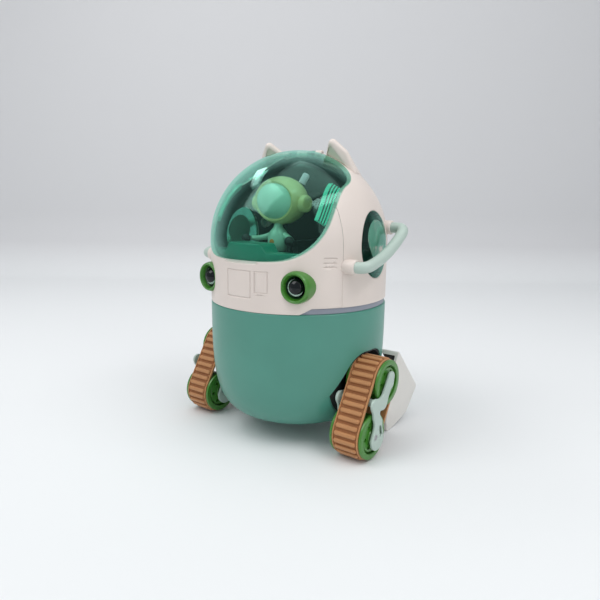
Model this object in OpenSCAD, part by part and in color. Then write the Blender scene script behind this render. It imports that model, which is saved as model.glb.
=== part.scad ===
/* [Body] */
// Outer radius of the round body
body_r = 48; // [47:0.5:50]
// Wall thickness of the body shells
wall = 2.2; // [1.8:0.1:2.6]
// Height of the seam above the floor
seam_z = 72; // [71:0.5:73]
// Height of the lowest point of the lower shell above the floor
belly_z = 8.2; // [7.5:0.1:9]
// Roundness of the lower shell's bottom: a higher number is squarer
belly_power = 5.2; // [4.5:0.1:6]
// Height of the centre of the dome
dome_z = 103.7; // [103:0.1:104.5]
// Height of the recessed band around the waist
band_h = 2.9; // [2:0.1:3.5]
// Distance of the split between front fascia and rear shell from the body axis
split_y = -21.4; // [-23:0.1:-20]

/* [Canopy] */
// Thickness of the clear canopy
canopy_t = 1.6; // [1.2:0.1:2]
// Gap between the canopy and the shells
canopy_gap = 0.3; // [0.25:0.05:0.5]
// Radius of the hinge pin
hinge_pin_r = 0.75; // [0.6:0.05:0.9]
// Radius of the hinge knuckles
knuckle_r = 1.6; // [1.4:0.1:1.7]

/* [Eyes] */
// Angle of each eye's place on the face, away from straight ahead
eye_angle = 36; // [35:1:38]
// Angle that each eye looks towards, away from straight ahead
eye_aim = 8; // [5:1:12]
// Height of the eyes above the floor
eye_z = 85.4; // [84:0.2:86.5]
// Radius of an eye bezel where it meets the face
eye_r = 7.9; // [7.6:0.1:8.1]

/* [Handles] */
// Radius of the handle tube
tube_r = 2.8; // [2.4:0.1:3]
// Distance of the handle grip from the middle of the body
grip_x = 53.8; // [53:0.1:55]

/* [Tracks] */
// Inner side of the track belt, from the middle of the body
belt_x = 44.4; // [44:0.1:45]
// Width of the track belt
belt_w = 14.8; // [14:0.1:15]
// Radius of a wheel's drum, which the belt runs on
drum_r = 10.4; // [10:0.1:10.6]
// Thickness of the belt between its ribs
belt_t = 1.4; // [1.2:0.1:1.5]
// Height of the ribs on the belt
rib_h = 0.6; // [0.4:0.1:0.7]
// Number of ribs around the belt
rib_count = 34; // [30:1:38]

/* [Hidden] */
$fn = 96;
LEFT = 1;
RIGHT = -1;
eps = 0.02;
far = 200;

// The body axis stands a little in front of the middle of the whole object.
body_y = -2;

cream = [0.84, 0.81, 0.79];
teal = [0.33, 0.56, 0.51];
mint = [0.60, 0.72, 0.65];
leaf = [0.30, 0.52, 0.24];
clear_green = [0.10, 0.50, 0.42, 0.6];
dark = [0.08, 0.10, 0.10];
metal = [0.70, 0.70, 0.72];

inner_r = body_r - wall;
band_top = seam_z + band_h;
belly_top_z = 89.4;
belly_h = belly_top_z - belly_z;
belly_steps = 24;

// Waist collar that both shells register on
collar_r = inner_r - 0.1;
collar_t = 1.8;
collar_low = seam_z - 4;
collar_high = seam_z + 5;

// Chin of the fascia, which reaches down to the seam
chin_low_x = 29.5;
chin_high_x = 34;

// Canopy hinge
hinge_y = 3.3;
hinge_z = dome_z + body_r - knuckle_r - 0.1;
hinge_half = 12.5;
knuckle_gap = 0.2;
lug_inner = 4.2;
lug_outer = 8.2;
hinge_fit = 0.05;

// Canopy outline in the side view: curves between named corners
canopy_front = [-46.6, 97.1];
canopy_sill = [-44.6, 97.4];
canopy_mid = [-26.8, 114.8];
canopy_lobe = [-9.7, 133.3];
canopy_back = [1.4, 146];

// Side windows
window_y = 2.4;
window_z = 104.2;
window_half_y = 13.2;
window_half_z = 16.8;
window_gap = 0.1;

// Handles: two short legs along X, two elbows and a bowed grip
leg_y = -19.0;
leg_z = 94.7;
elbow_r = 4;
grip_low_tilt = 10;
grip_high_tilt = 38;
grip_bow_r = 72;
elbow_steps = 6;
grip_steps = 10;
tube_sides = 16;
boss_r = 3.7;
leg_start_x = 43;
front_boss_x = 49;
rear_boss_x = 46.5;

// Tracks
belt_r = drum_r + 0.1 + belt_t;
rib_r = belt_r + rib_h;
flange_r = belt_r - 0.3;
flange_t = 1.5;
side_gap = 0.15;
low_wheel = [-18.7, rib_r];
top_wheel = [-4.8, 36.4];
axle_r = 1.5;
running = 0.05;
plate_t = 1.4;
belt_out_x = belt_x + belt_w;
wheel_in_x = belt_x - side_gap - flange_t;
wheel_out_x = belt_out_x + side_gap + flange_t;
inner_plate_x = wheel_in_x - 0.3 - plate_t;
outer_plate_x = wheel_out_x + 0.3;
strut_r = 1.9;
strut_at = (low_wheel + top_wheel) / 2 + [-5.75, 4.55];

// Wheel wells
well_r = 13.9;
well_floor_x = 39.4;
well_back = [1.5, 36.4];
liner_t = 1;

// Rear feet
foot_x = 50;
foot_w = 11;
foot_wall = 1.8;
foot_points = [[27.1, 44], [52, 17.5], [39.6, 4.3], [21.4, 0], [16.6, 0], [15.2, 6.7], [21.6, 32.6]];
foot_hollow = [[27.6, 41.2], [49.4, 17.6], [38.8, 6.1], [17.8, 2], [10, 2], [10, 41.2]];

// Cockpit
floor_z = 94.2;
floor_t = 2;
seat_z = floor_z + floor_t;
head_at = [0, -15.5, 125.4];
helmet_r = 12.4;
helmet_half = 2.6;
neck_r = 2;

// Inner works
deck_z = 52.6;
deck_t = 2;
motor_x = 12;
motor_l = 24;
motor_w = 12;
motor_h = 10;
door_w = 34;
door_d = 24;

// ---------- helpers ----------

// Moves a piece from the body axis to its place in the object's frame.
module on_axis() {
    translate([0, body_y, 0]) children();
}

// Builds a left-hand piece, or its mirror image on the right.
module sided(side) {
    on_axis() mirror([side == RIGHT ? 1 : 0, 0, 0]) children();
}

// Stands a side-view outline, drawn in Y and Z, up between two X values.
module side_extrude(low_x, high_x) {
    translate([low_x, 0, 0]) rotate([90, 0, 90]) linear_extrude(high_x - low_x) children();
}

// A round bar along X.
module x_bar(low_x, high_x, at, r) {
    translate([low_x, at[0], at[1]]) rotate([0, 90, 0]) cylinder(h = high_x - low_x, r = r);
}

function cubic(a, b, c, d, t) =
    a * pow(1 - t, 3) + 3 * b * t * pow(1 - t, 2) + 3 * c * t * t * (1 - t) + d * pow(t, 3);

function curve(a, b, c, d, steps) = [for (i = [1:steps]) cubic(a, b, c, d, i / steps)];

function arc(at, r, from, to, steps) =
    [for (i = [0:steps]) at + r * [for (a = [from + (to - from) * i / steps]) each [cos(a), sin(a)]]];

// Outline of a strip with a round end about each of two points.
function link_points(p, r, q, s, steps) =
    let (d = q - p, a = atan2(d[1], d[0]), w = acos((r - s) / norm(d)))
    concat(arc(p, r, a + w, a + 360 - w, steps), arc(q, s, a - w, a + w, steps));

module link(p, r, q, s, steps = 12) {
    polygon(link_points(p, r, q, s, steps));
}

// ---------- shells ----------

function belly_point(r, h, t) =
    [r * pow(cos(t), 2 / belly_power), belly_top_z - h * pow(sin(t), 2 / belly_power)];

// Solid of the lower body inside a given radius, up to a given height.
module belly_solid(inset, top) {
    r = body_r - inset;
    h = belly_h - inset;
    step = 90 / belly_steps;
    rotate_extrude()
        polygon(concat([[0, top], [r, top]],
            [for (i = [1:belly_steps - 1]) belly_point(r, h, i * step)],
            [[0, belly_top_z - h]]));
}

// Solid of the upper body: a cylinder under a dome.
module dome_solid(r, low) {
    translate([0, 0, low]) cylinder(h = dome_z - low, r = r);
    intersection() {
        translate([0, 0, dome_z]) sphere(r);
        translate([0, 0, dome_z]) cylinder(h = far, r = far);
    }
}

function canopy_edge() = concat([canopy_front],
    curve(canopy_front, canopy_front + [0.7, 0.1], canopy_sill - [0.7, 0.1], canopy_sill, 1),
    curve(canopy_sill, canopy_sill + [7.1, 0.8], canopy_mid - [4.2, 7.3], canopy_mid, 8),
    curve(canopy_mid, canopy_mid + [4.8, 8.4], canopy_lobe - [7.3, 2.8], canopy_lobe, 6),
    curve(canopy_lobe, canopy_lobe + [6.2, 2.4], canopy_back - [0, 6.5], canopy_back, 6));

// Everything in front of the canopy's edge, moved back and down by a gap.
module canopy_zone(gap) {
    side_extrude(-far, far)
        translate([gap, -gap])
            polygon(concat([[-far, canopy_front[1]]], canopy_edge(),
                [[canopy_back[0], far], [-far, far]]));
}

module window_hole(gap) {
    side_extrude(0, far)
        translate([window_y, window_z])
            polygon([for (a = [0:10:350])
                [(window_half_y - gap) * cos(a), (window_half_z - gap) * sin(a)]]);
}

// Wheel well outline in the side view.
module well_outline(grow) {
    r = well_r + grow;
    polygon(concat(arc(well_back, r, 0, 90, 12), arc(top_wheel, r, 90, 150, 8),
        [low_wheel + r * [-0.865, 0.503], [-44, -10], [28, -10]]));
}

module well_cut() {
    side_extrude(well_floor_x - liner_t, far) well_outline(0);
}

module lower_shell() {
    door = [door_w, door_d, 20];
    ledge = [door_w + 8, door_d + 7, 2.4];
    pocket = [door_w - 7, door_d - 7, 20];
    color(teal) on_axis() difference() {
        union() {
            difference() {
                belly_solid(0, seam_z);
                belly_solid(wall, seam_z + 1);
            }
            intersection() {
                translate([0, 0, belly_z + wall + ledge[2] / 2 - eps]) cube(ledge, center = true);
                belly_solid(1, seam_z);
            }
        }
        well_cut();
        mirror([1, 0, 0]) well_cut();
        translate([0, 0, belly_z + wall - door[2] / 2]) cube(door, center = true);
        translate([0, 0, belly_z + wall]) cube(pocket, center = true);
        for (x = [-1, 1])
            translate([x * (door_w / 2 - 1.8), 0, 0]) cylinder(h = 20, r = 0.9);
    }
}

module band_ring(r_out, r_in, low, high) {
    difference() {
        translate([0, 0, low]) cylinder(h = high - low, r = r_out);
        translate([0, 0, low - 1]) cylinder(h = high - low + 2, r = r_in);
    }
}

// Trapezium in the front view that the chin fills, with its slopes run on past both ends.
module chin_zone(gap) {
    spread = chin_high_x - chin_low_x;
    low = chin_low_x - spread + gap;
    high = chin_high_x + spread + gap;
    rotate([90, 0, 0]) linear_extrude(far)
        polygon([[-low, seam_z - band_h], [low, seam_z - band_h], [high, band_top + band_h],
            [-high, band_top + band_h]]);
}

module waist_band() {
    color([0.52, 0.53, 0.57]) on_axis() {
        band_ring(collar_r, collar_r - collar_t, collar_low, collar_high);
        difference() {
            band_ring(body_r - 0.8, collar_r - 0.5, seam_z, band_top);
            chin_zone(0.05);
        }
    }
}

module upper_skin() {
    difference() {
        union() {
            dome_solid(body_r, band_top);
            intersection() {
                translate([0, 0, seam_z]) cylinder(h = band_h + 1, r = body_r);
                chin_zone(0);
            }
        }
        dome_solid(inner_r, seam_z - 1);
        canopy_zone(canopy_gap);
    }
}

// Places a piece on the eye's axis, with its +Z pointing out of the face.
module at_eye() {
    rotate([0, 0, eye_angle]) translate([0, -body_r, eye_z]) rotate([0, 0, eye_aim - eye_angle])
        rotate([90, 0, 0]) children();
}

// Thin skin under the outer surface that engraved lines cut through.
module engrave(depth) {
    difference() {
        children();
        translate([0, 0, seam_z - 5]) cylinder(h = far, r = body_r - depth);
    }
}

// Engraved square line frame on the front, in X and Z.
module frame_line(low, high, width) {
    rotate([90, 0, 0]) linear_extrude(far)
        difference() {
            translate(low) square(high - low);
            translate(low + [width, width]) square(high - low - 2 * [width, width]);
        }
}

module front_fascia() {
    line_w = 0.35;
    color(cream) on_axis() difference() {
        intersection() {
            upper_skin();
            translate([-far, -2 * far + split_y, 0]) cube([2 * far, 2 * far, far]);
        }
        for (side = [0, 1])
            mirror([side, 0, 0]) {
                at_eye() translate([0, 0, -12]) cylinder(h = 20, r = eye_r - 1.1);
                x_bar(leg_start_x - 5, far, [leg_y, leg_z], tube_r + eps);
                for (z = [94.6, 96.6, 98.8])
                    rotate([0, 0, 55.5]) translate([-3.6, -body_r - 1, z]) cube([7.2, 1.15, 0.3]);
            }
        engrave(0.3) frame_line([-8.3, 78.8], [6.8, 92.2], line_w);
        engrave(0.3) frame_line([8.9, 81.8], [15.8, 92.2], line_w);
        engrave(0.3) translate([9.8, -far, 80.6]) cube([4.8, far, line_w]);
        engrave(0.9) translate([-10.5, -far, 95.6]) cube([21, far, 3]);
    }
}

// Barrel along X, for one knuckle of the canopy hinge.
module knuckle(low_x, high_x) {
    x_bar(low_x, high_x, [hinge_y, hinge_z], knuckle_r);
}

module rear_shell() {
    color(cream) on_axis() difference() {
        union() {
            difference() {
                intersection() {
                    upper_skin();
                    translate([-far, split_y, 0]) cube([2 * far, 2 * far, far]);
                }
                translate([-hinge_half, -5, hinge_z - 3])
                    cube([2 * hinge_half, 5 + hinge_y + knuckle_r + 0.3, 20]);
            }
            for (side = [0, 1])
                mirror([side, 0, 0]) {
                    knuckle(lug_outer + knuckle_gap, hinge_half - 0.1);
                    translate([lug_outer + knuckle_gap, hinge_y, hinge_z - knuckle_r])
                        cube([hinge_half - lug_outer - knuckle_gap - 0.1, 3, knuckle_r]);
                    difference() {
                        union() {
                            x_bar(42, front_boss_x, [leg_y, leg_z], boss_r);
                            x_bar(42, rear_boss_x, rear_leg(), boss_r);
                        }
                        dome_solid(inner_r, seam_z);
                        translate([-far, split_y - far, 0]) cube([2 * far, far, far]);
                    }
                }
            knuckle(-lug_inner + knuckle_gap, lug_inner - knuckle_gap);
            translate([-lug_inner + knuckle_gap, hinge_y, hinge_z - knuckle_r])
                cube([2 * (lug_inner - knuckle_gap), 3, knuckle_r]);
        }
        for (side = [0, 1])
            mirror([side, 0, 0]) {
                window_hole(0);
                x_bar(leg_start_x - 5, far, [leg_y, leg_z], tube_r + eps);
                x_bar(leg_start_x - 5, far, rear_leg(), tube_r + eps);
            }
        x_bar(-hinge_half, hinge_half, [hinge_y, hinge_z], hinge_pin_r);
    }
}

module canopy() {
    color(clear_green) on_axis() difference() {
        union() {
            difference() {
                intersection() {
                    dome_solid(body_r, seam_z);
                    canopy_zone(0);
                }
                dome_solid(body_r - canopy_t, seam_z - 1);
            }
            for (side = [0, 1])
                mirror([side, 0, 0]) {
                    knuckle(lug_inner, lug_outer);
                    translate([lug_inner, 0.6, hinge_z - knuckle_r])
                        cube([lug_outer - lug_inner, hinge_y - 0.6, 2 * knuckle_r - 0.6]);
                }
        }
        x_bar(-hinge_half, hinge_half, [hinge_y, hinge_z], hinge_pin_r + hinge_fit);
    }
}

module canopy_hinge_pin() {
    color(metal) on_axis()
        x_bar(-hinge_half + 0.2, hinge_half - 0.2, [hinge_y, hinge_z], hinge_pin_r);
}

module side_window(side) {
    color(clear_green) sided(side) intersection() {
        difference() {
            dome_solid(body_r, seam_z);
            dome_solid(inner_r, seam_z - 1);
        }
        window_hole(window_gap);
    }
}

// ---------- ears ----------

ear_tip = [21.2, -0.2, 154.4];

module ear_blank() {
    hull() {
        translate(ear_tip) sphere(2.3, $fn = 32);
        translate([14, 6.8, 147.6]) sphere(1.8, $fn = 24);
        translate([26.6, 2.8, 149.5]) sphere(1.9, $fn = 24);
        translate([30, 6.2, 140.2]) sphere(2, $fn = 24);
        translate([17.5, 20, 142]) sphere(3, $fn = 24);
        translate([25.8, 16, 137.6]) sphere(3, $fn = 24);
    }
}

// Pocket in the ear's front face, which leans forward from its foot to its tip.
module ear_pocket() {
    face_turn = [33.8, 0, -21.1];
    corners = [[0, 0], [-9.2, -7.9], [5.9, -16.8]];
    floor_at = 1.3;
    reach = 10;
    intersection() {
        ear_blank();
        translate(ear_tip) rotate(face_turn) translate([0, -floor_at, 0]) rotate([90, 0, 0])
            linear_extrude(reach) offset(r = 0.8) polygon(corners);
    }
}

module ear(side) {
    color(cream) sided(side) difference() {
        ear_blank();
        ear_pocket();
        translate([0, 0, dome_z]) sphere(body_r);
    }
}

module inner_ear(side) {
    color([0.63, 0.62, 0.57]) sided(side) difference() {
        ear_pocket();
        translate([0, 0, dome_z]) sphere(body_r);
    }
}

// ---------- eyes ----------

module eye_bezel(side) {
    color(leaf) sided(side) difference() {
        at_eye() rotate_extrude()
            polygon([[4.7, -9], [eye_r - 1.15, -9], [eye_r - 1.15, -7.5], [eye_r, -7.5],
                [eye_r, 0.6], [eye_r - 0.4, 2.2], [eye_r - 1, 3], [eye_r - 1.6, 3], [6.1, 2.5],
                [4.7, 0.6]]);
        difference() {
            translate([0, 0, seam_z]) cylinder(h = 30, r = body_r);
            at_eye() translate([0, 0, -13]) cylinder(h = 22, r = eye_r - 1.14);
        }
    }
}

module eye_lens(side) {
    color([0.06, 0.12, 0.12]) sided(side) at_eye() {
        translate([0, 0, -5]) cylinder(h = 5, r = 4.65);
        intersection() {
            translate([0, 0, -1.6]) sphere(4.9);
            translate([0, 0, -1]) cylinder(h = 6, r = 4.65);
        }
    }
}

// ---------- handles ----------

// Start and end of the bowed grip, and the axis of the rear leg, in Y and Z.
function grip_start() = [leg_y, leg_z] + elbow_r * [cos(grip_low_tilt), sin(grip_low_tilt)];
function grip_centre() = grip_start() - grip_bow_r * [sin(grip_low_tilt), -cos(grip_low_tilt)];
function grip_end() = grip_centre() + grip_bow_r * [sin(grip_high_tilt), -cos(grip_high_tilt)];
function rear_leg() = grip_end() + elbow_r * [cos(grip_high_tilt), sin(grip_high_tilt)];

// Elbow points from one angle to another, in the plane of X and a tilted direction.
function elbow_path(at, tilt, from, to) =
    [for (i = [0:elbow_steps])
        let (a = from + (to - from) * i / elbow_steps, out = elbow_r * sin(a))
        [grip_x - elbow_r + elbow_r * cos(a), at[0] + out * cos(tilt), at[1] + out * sin(tilt)]];

function grip_path() =
    [for (i = [1:grip_steps - 1])
        let (a = grip_low_tilt + (grip_high_tilt - grip_low_tilt) * i / grip_steps,
            at = grip_centre() + grip_bow_r * [sin(a), -cos(a)])
        [grip_x, at[0], at[1]]];

function handle_path() = concat(
    [[leg_start_x, leg_y, leg_z], [front_boss_x, leg_y, leg_z]],
    elbow_path(grip_start(), grip_low_tilt, -90, 0), grip_path(),
    elbow_path(grip_end(), grip_high_tilt, 0, 90),
    [[rear_boss_x, rear_leg()[0], rear_leg()[1]], [leg_start_x, rear_leg()[0], rear_leg()[1]]]);

function unit(v) = v / norm(v);

// Round tube along a path, as rings of points across each point's direction.
module tube(path, r) {
    last = len(path) - 1;
    up = [0, -sin(24), cos(24)];
    points = [for (i = [0:last])
        let (along = unit(path[min(i + 1, last)] - path[max(i - 1, 0)]),
            aside = unit(cross(along, up)), over = cross(aside, along))
        for (j = [0:tube_sides - 1])
            path[i] + r * (cos(360 * j / tube_sides) * aside + sin(360 * j / tube_sides) * over)];
    sides = [for (i = [0:last - 1], j = [0:tube_sides - 1])
        let (k = (j + 1) % tube_sides, a = i * tube_sides, b = a + tube_sides)
        [a + j, b + j, b + k, a + k]];
    ends = [[for (j = [0:tube_sides - 1]) j], [for (j = [tube_sides - 1:-1:0]) last * tube_sides + j]];
    polyhedron(points, concat(sides, ends), convexity = 4);
}

module handle(side) {
    color([0.69, 0.76, 0.72]) sided(side) tube(handle_path(), tube_r);
}

// ---------- tracks ----------

run_length = norm(top_wheel - low_wheel);
run_tilt = atan2(top_wheel[1] - low_wheel[1], top_wheel[0] - low_wheel[0]);
loop_length = 2 * run_length + 2 * PI * belt_r;

// Position along the belt and direction of its outer face, at a distance from its start.
function belt_place(s) =
    let (bend = PI * belt_r)
    s < run_length ? [low_wheel + s * [cos(run_tilt), sin(run_tilt)], run_tilt + 90]
    : s < run_length + bend ? [top_wheel, run_tilt + 90 - 180 * (s - run_length) / bend]
    : s < 2 * run_length + bend
        ? [top_wheel - (s - run_length - bend) * [cos(run_tilt), sin(run_tilt)], run_tilt - 90]
    : [low_wheel, run_tilt - 90 - 180 * (s - 2 * run_length - bend) / bend];

module track_belt(side) {
    rib_w = 2.1;
    margin = 1.3;
    color([0.67, 0.47, 0.28]) sided(side) {
        side_extrude(belt_x, belt_out_x) difference() {
            link(low_wheel, belt_r, top_wheel, belt_r, 24);
            link(low_wheel, drum_r + 0.1, top_wheel, drum_r + 0.1, 24);
        }
        for (i = [0:rib_count - 1]) {
            place = belt_place(i * loop_length / rib_count);
            translate([belt_x + margin, place[0][0], place[0][1]]) rotate([place[1], 0, 0])
                translate([0, belt_r - 0.5, -rib_w / 2])
                    cube([belt_w - 2 * margin, rib_h + 0.5, rib_w]);
        }
    }
}

module wheel(at) {
    slot_r = 6.4;
    difference() {
        union() {
            x_bar(wheel_in_x, wheel_out_x, at, drum_r);
            x_bar(wheel_in_x, wheel_in_x + flange_t, at, flange_r);
            x_bar(wheel_out_x - flange_t, wheel_out_x, at, flange_r);
        }
        for (x = [wheel_in_x - 1, wheel_out_x - 1.2])
            difference() {
                x_bar(x, x + 2.2, at, 8.6);
                x_bar(x, x + 2.2, at, 3.4);
            }
        for (a = [0:60:300])
            x_bar(wheel_in_x - 1, wheel_out_x + 1, at + slot_r * [cos(a), sin(a)], 1.2);
        children();
    }
}

module upper_wheel(side) {
    color(leaf) sided(side) wheel(top_wheel)
        x_bar(wheel_in_x - 1, wheel_out_x + 1, top_wheel, axle_r);
}

module lower_wheel(side) {
    color(leaf) sided(side) wheel(low_wheel)
        x_bar(wheel_in_x - 1, wheel_out_x + 1, low_wheel, axle_r + running);
}

module drive_shaft(side) {
    color(metal) sided(side)
        x_bar(motor_x + motor_l + 0.2, outer_plate_x + plate_t - 0.3, top_wheel, axle_r);
}

module lower_axle(side) {
    color(metal) sided(side)
        x_bar(inner_plate_x, outer_plate_x + plate_t, low_wheel, axle_r);
}

// S-shaped side plate of the track, in the side view.
module track_plate_outline() {
    arm_top = [-4.3, 39.5];
    bend = [-12, 28.8];
    hook = [-22, 29.6];
    elbow = [-17.9, 22.8];
    neck = [-16.2, 18.6];
    drop = [-16.5, 11.2];
    window = [[-15.2, 16], [-13.3, 11.8], [-16.3, 11.4]];
    link(arm_top, 2.7, bend, 2.9);
    link(arm_top, 2.7, top_wheel, 2.7);
    link(bend, 2.9, hook, 2.6);
    link(hook, 2.2, elbow, 2.2);
    link(elbow, 2.2, neck, 2.9);
    difference() {
        link(neck, 2.9, drop, 6.1);
        polygon(window);
    }
}

module outer_track_plate(side) {
    color(mint) sided(side) difference() {
        side_extrude(outer_plate_x, outer_plate_x + plate_t) track_plate_outline();
        x_bar(outer_plate_x - 1, far, top_wheel, axle_r + running);
        x_bar(outer_plate_x - 1, far, low_wheel, axle_r);
        x_bar(outer_plate_x - 1, far, strut_at, strut_r - 0.6);
    }
}

module inner_track_plate(side) {
    color(mint) sided(side) difference() {
        side_extrude(inner_plate_x, inner_plate_x + plate_t) track_plate_outline();
        x_bar(inner_plate_x - 1, wheel_in_x, top_wheel, axle_r + running);
        x_bar(inner_plate_x - 1, wheel_in_x, low_wheel, axle_r);
        x_bar(inner_plate_x - 1, wheel_in_x, strut_at, strut_r);
    }
}

module track_strut(side) {
    color(mint) sided(side) {
        x_bar(well_floor_x - liner_t - 3, outer_plate_x, strut_at, strut_r);
        x_bar(outer_plate_x - 1, outer_plate_x + plate_t - 0.2, strut_at, strut_r - 0.6);
    }
}

module well_liner(side) {
    color(dark) sided(side) difference() {
        intersection() {
            side_extrude(well_floor_x - liner_t, body_r) well_outline(0);
            belly_solid(0.6, seam_z);
        }
        side_extrude(well_floor_x, far) well_outline(-liner_t);
        x_bar(30, 50, top_wheel, axle_r + 0.3);
        x_bar(30, 50, strut_at, strut_r);
    }
}

// ---------- rear feet ----------

// Hollow five-sided foot, open to the front and to the inside, with a pad on the body.
module rear_foot(side) {
    pad_x = 36;
    color(cream) sided(side) difference() {
        union() {
            difference() {
                side_extrude(foot_x - foot_w, foot_x) polygon(foot_points);
                side_extrude(foot_x - foot_w - 1, foot_x - foot_wall) polygon(foot_hollow);
            }
            translate([pad_x, 24.5, 36]) cube([foot_x - pad_x - 1, 3.5, 7]);
        }
        belly_solid(-eps, seam_z);
    }
}

// ---------- cockpit ----------

module cockpit_floor() {
    color(teal) on_axis() {
        translate([0, 0, floor_z]) cylinder(h = floor_t, r = inner_r - 0.1);
        for (a = [12, -12, 135, -135])
            intersection() {
                rotate([0, 0, a]) translate([-3, -inner_r, collar_high])
                    cube([6, 5, floor_z - collar_high + 1]);
                cylinder(h = far, r = inner_r - 0.2);
            }
    }
}

module dashboard() {
    color([0.10, 0.42, 0.34]) on_axis() intersection() {
        rotate([90, 0, 0]) linear_extrude(far)
            polygon([[-34, seat_z], [34, seat_z], [34, 100.5], [14, 101], [9, 104.8], [-10, 105.2],
                [-14, 101.5], [-34, 101]]);
        translate([0, 0, seat_z - 1]) cylinder(h = 20, r = body_r - canopy_t - 0.9);
        translate([-far, -far - 33, 0]) cube([2 * far, far, far]);
    }
}

module seat() {
    color(dark) on_axis() {
        translate([-9, -24, seat_z]) cube([18, 30, 3]);
        translate([-11, 3.5, seat_z]) cube([22, 4, 34]);
        for (x = [-13, 10])
            translate([x, -18, seat_z]) cube([3, 22, 9]);
    }
}

module control_stick(side) {
    color(dark) sided(side) {
        translate([14.4, -27, seat_z]) cylinder(h = 9.5, r = 1.3);
        translate([14.4, -27, seat_z + 9.5]) sphere(2.4);
        translate([14.4, -27, seat_z]) cylinder(h = 1.6, r = 3.6);
    }
}

// Strip beside the canopy's edge in the side view, between two distances forward of it.
module edge_strip(from, to) {
    forward = [-0.73, 0.68];
    edge = curve(canopy_mid, canopy_mid + [4.8, 8.4], canopy_lobe - [7.3, 2.8], canopy_lobe, 6);
    side_extrude(0, far)
        polygon(concat([for (p = edge) p + from * forward],
            [for (i = [len(edge) - 1:-1:0]) edge[i] + to * forward]));
}

// Ribbed lip on the inner wall, along the canopy's edge.
module wall_grille(side) {
    lip_w = 3.4;
    rib_step = 1.1;
    color([0.30, 0.73, 0.62]) sided(side) difference() {
        intersection() {
            translate([0, 0, dome_z]) sphere(inner_r - 0.1);
            edge_strip(-2, lip_w);
        }
        translate([0, 0, dome_z]) sphere(inner_r - 1.6);
        for (i = [0:2])
            difference() {
                edge_strip(0.4 + i * rib_step, 0.9 + i * rib_step);
                translate([0, 0, dome_z]) sphere(inner_r - 0.8);
            }
    }
}

module pilot_torso() {
    at = [head_at[0], head_at[1] - 2.5, 0];
    color([0.52, 0.74, 0.64]) on_axis() {
        translate([at[0], at[1], seat_z + 3]) cylinder(h = 7, r = 5.4);
        translate([at[0], at[1], seat_z + 10]) sphere(5.4);
        translate([head_at[0], head_at[1], seat_z + 8]) cylinder(h = 13.5, r = neck_r);
        for (side = [0, 1])
            mirror([side, 0, 0])
                translate([4, at[1], seat_z + 11]) rotate([60, 0, 58]) cylinder(h = 7.5, r = 1.7);
    }
}

// Helmet: a ball stretched a little along X.
module helmet_solid(r) {
    translate(head_at) rotate([0, 90, 0]) rotate_extrude()
        polygon(concat([[0, -helmet_half - r]], arc([0, -helmet_half], r, -84, 0, 14),
            arc([0, helmet_half], r, 0, 84, 14), [[0, helmet_half + r]]));
}

// Front of the helmet that the visor fills, in X and Z.
module visor_zone(gap) {
    translate([0, head_at[1] - 3, 0]) rotate([90, 0, 0]) linear_extrude(40)
        translate([0, head_at[2] - 1.6])
            polygon([for (a = [0:12:348]) [(10.4 - gap) * cos(a), (9 - gap) * sin(a)]]);
}

module pilot_helmet() {
    color([0.60, 0.68, 0.45]) on_axis() difference() {
        union() {
            helmet_solid(helmet_r);
            x_bar(-17.3, 17.3, [head_at[1], head_at[2] - 1.4], 4.4);
            translate([9, head_at[1] + 4, head_at[2] + 7]) rotate([-18, 22, 0])
                cylinder(h = 8.5, r = 1.4);
        }
        difference() {
            visor_zone(0);
            helmet_solid(helmet_r - 2);
        }
        translate([head_at[0], head_at[1], head_at[2] - 20]) cylinder(h = 13, r = neck_r + running);
    }
}

module pilot_visor() {
    color([0.52, 0.74, 0.64]) on_axis() difference() {
        intersection() {
            helmet_solid(helmet_r + 0.3);
            visor_zone(0.1);
        }
        helmet_solid(helmet_r - 1.95);
    }
}

// ---------- inner works ----------

module chassis_deck() {
    color(dark) on_axis() {
        translate([0, 0, deck_z]) cylinder(h = deck_t, r = inner_r - 0.8);
        for (x = [-20, 20])
            for (y = [-20, 20])
                translate([x, y, deck_z + deck_t]) cylinder(h = 5.5, r = 2);
    }
}

// U-shaped bracket that hangs a motor under the deck.
module motor_bracket(side) {
    wall_t = 1.8;
    low = top_wheel[1] - motor_h / 2;
    color(dark) sided(side) difference() {
        translate([motor_x + 2, top_wheel[0] - motor_w / 2 - wall_t, low - wall_t])
            cube([motor_l - 4, motor_w + 2 * wall_t, deck_z - low + wall_t]);
        translate([motor_x - 1, top_wheel[0] - motor_w / 2, low])
            cube([motor_l + 2, motor_w, far]);
    }
}

module gear_motor(side) {
    color(metal) sided(side) {
        translate([motor_x, top_wheel[0] - motor_w / 2 + eps, top_wheel[1] - motor_h / 2])
            cube([motor_l, motor_w - 2 * eps, motor_h]);
        translate([motor_x - 6, top_wheel[0] - 4, top_wheel[1] - 4]) cube([6, 8, 8]);
    }
}

module battery_pack() {
    color([0.25, 0.35, 0.60]) on_axis()
        translate([-(door_w - 8) / 2, -(door_d - 8) / 2, belly_z + wall + 0.1])
            cube([door_w - 8, door_d - 8, 17]);
}

module control_board() {
    color([0.05, 0.35, 0.20]) on_axis() {
        translate([-24, -24, deck_z + deck_t + 5.5]) cube([48, 48, 1.6]);
        translate([-7, -7, deck_z + deck_t + 7.1]) cube([14, 14, 2]);
        translate([-20, 10, deck_z + deck_t + 7.1]) cube([10, 8, 5]);
    }
}

module battery_door() {
    color(teal) on_axis() difference() {
        translate([0, 0, belly_z + wall / 2])
            cube([door_w - 0.3, door_d - 0.3, wall - 0.05], center = true);
        for (x = [-1, 1])
            translate([x * (door_w / 2 - 1.8), 0, 0]) {
                cylinder(h = 20, r = 0.95);
                cylinder(h = belly_z + 1, r = 1.6);
            }
    }
}

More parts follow.
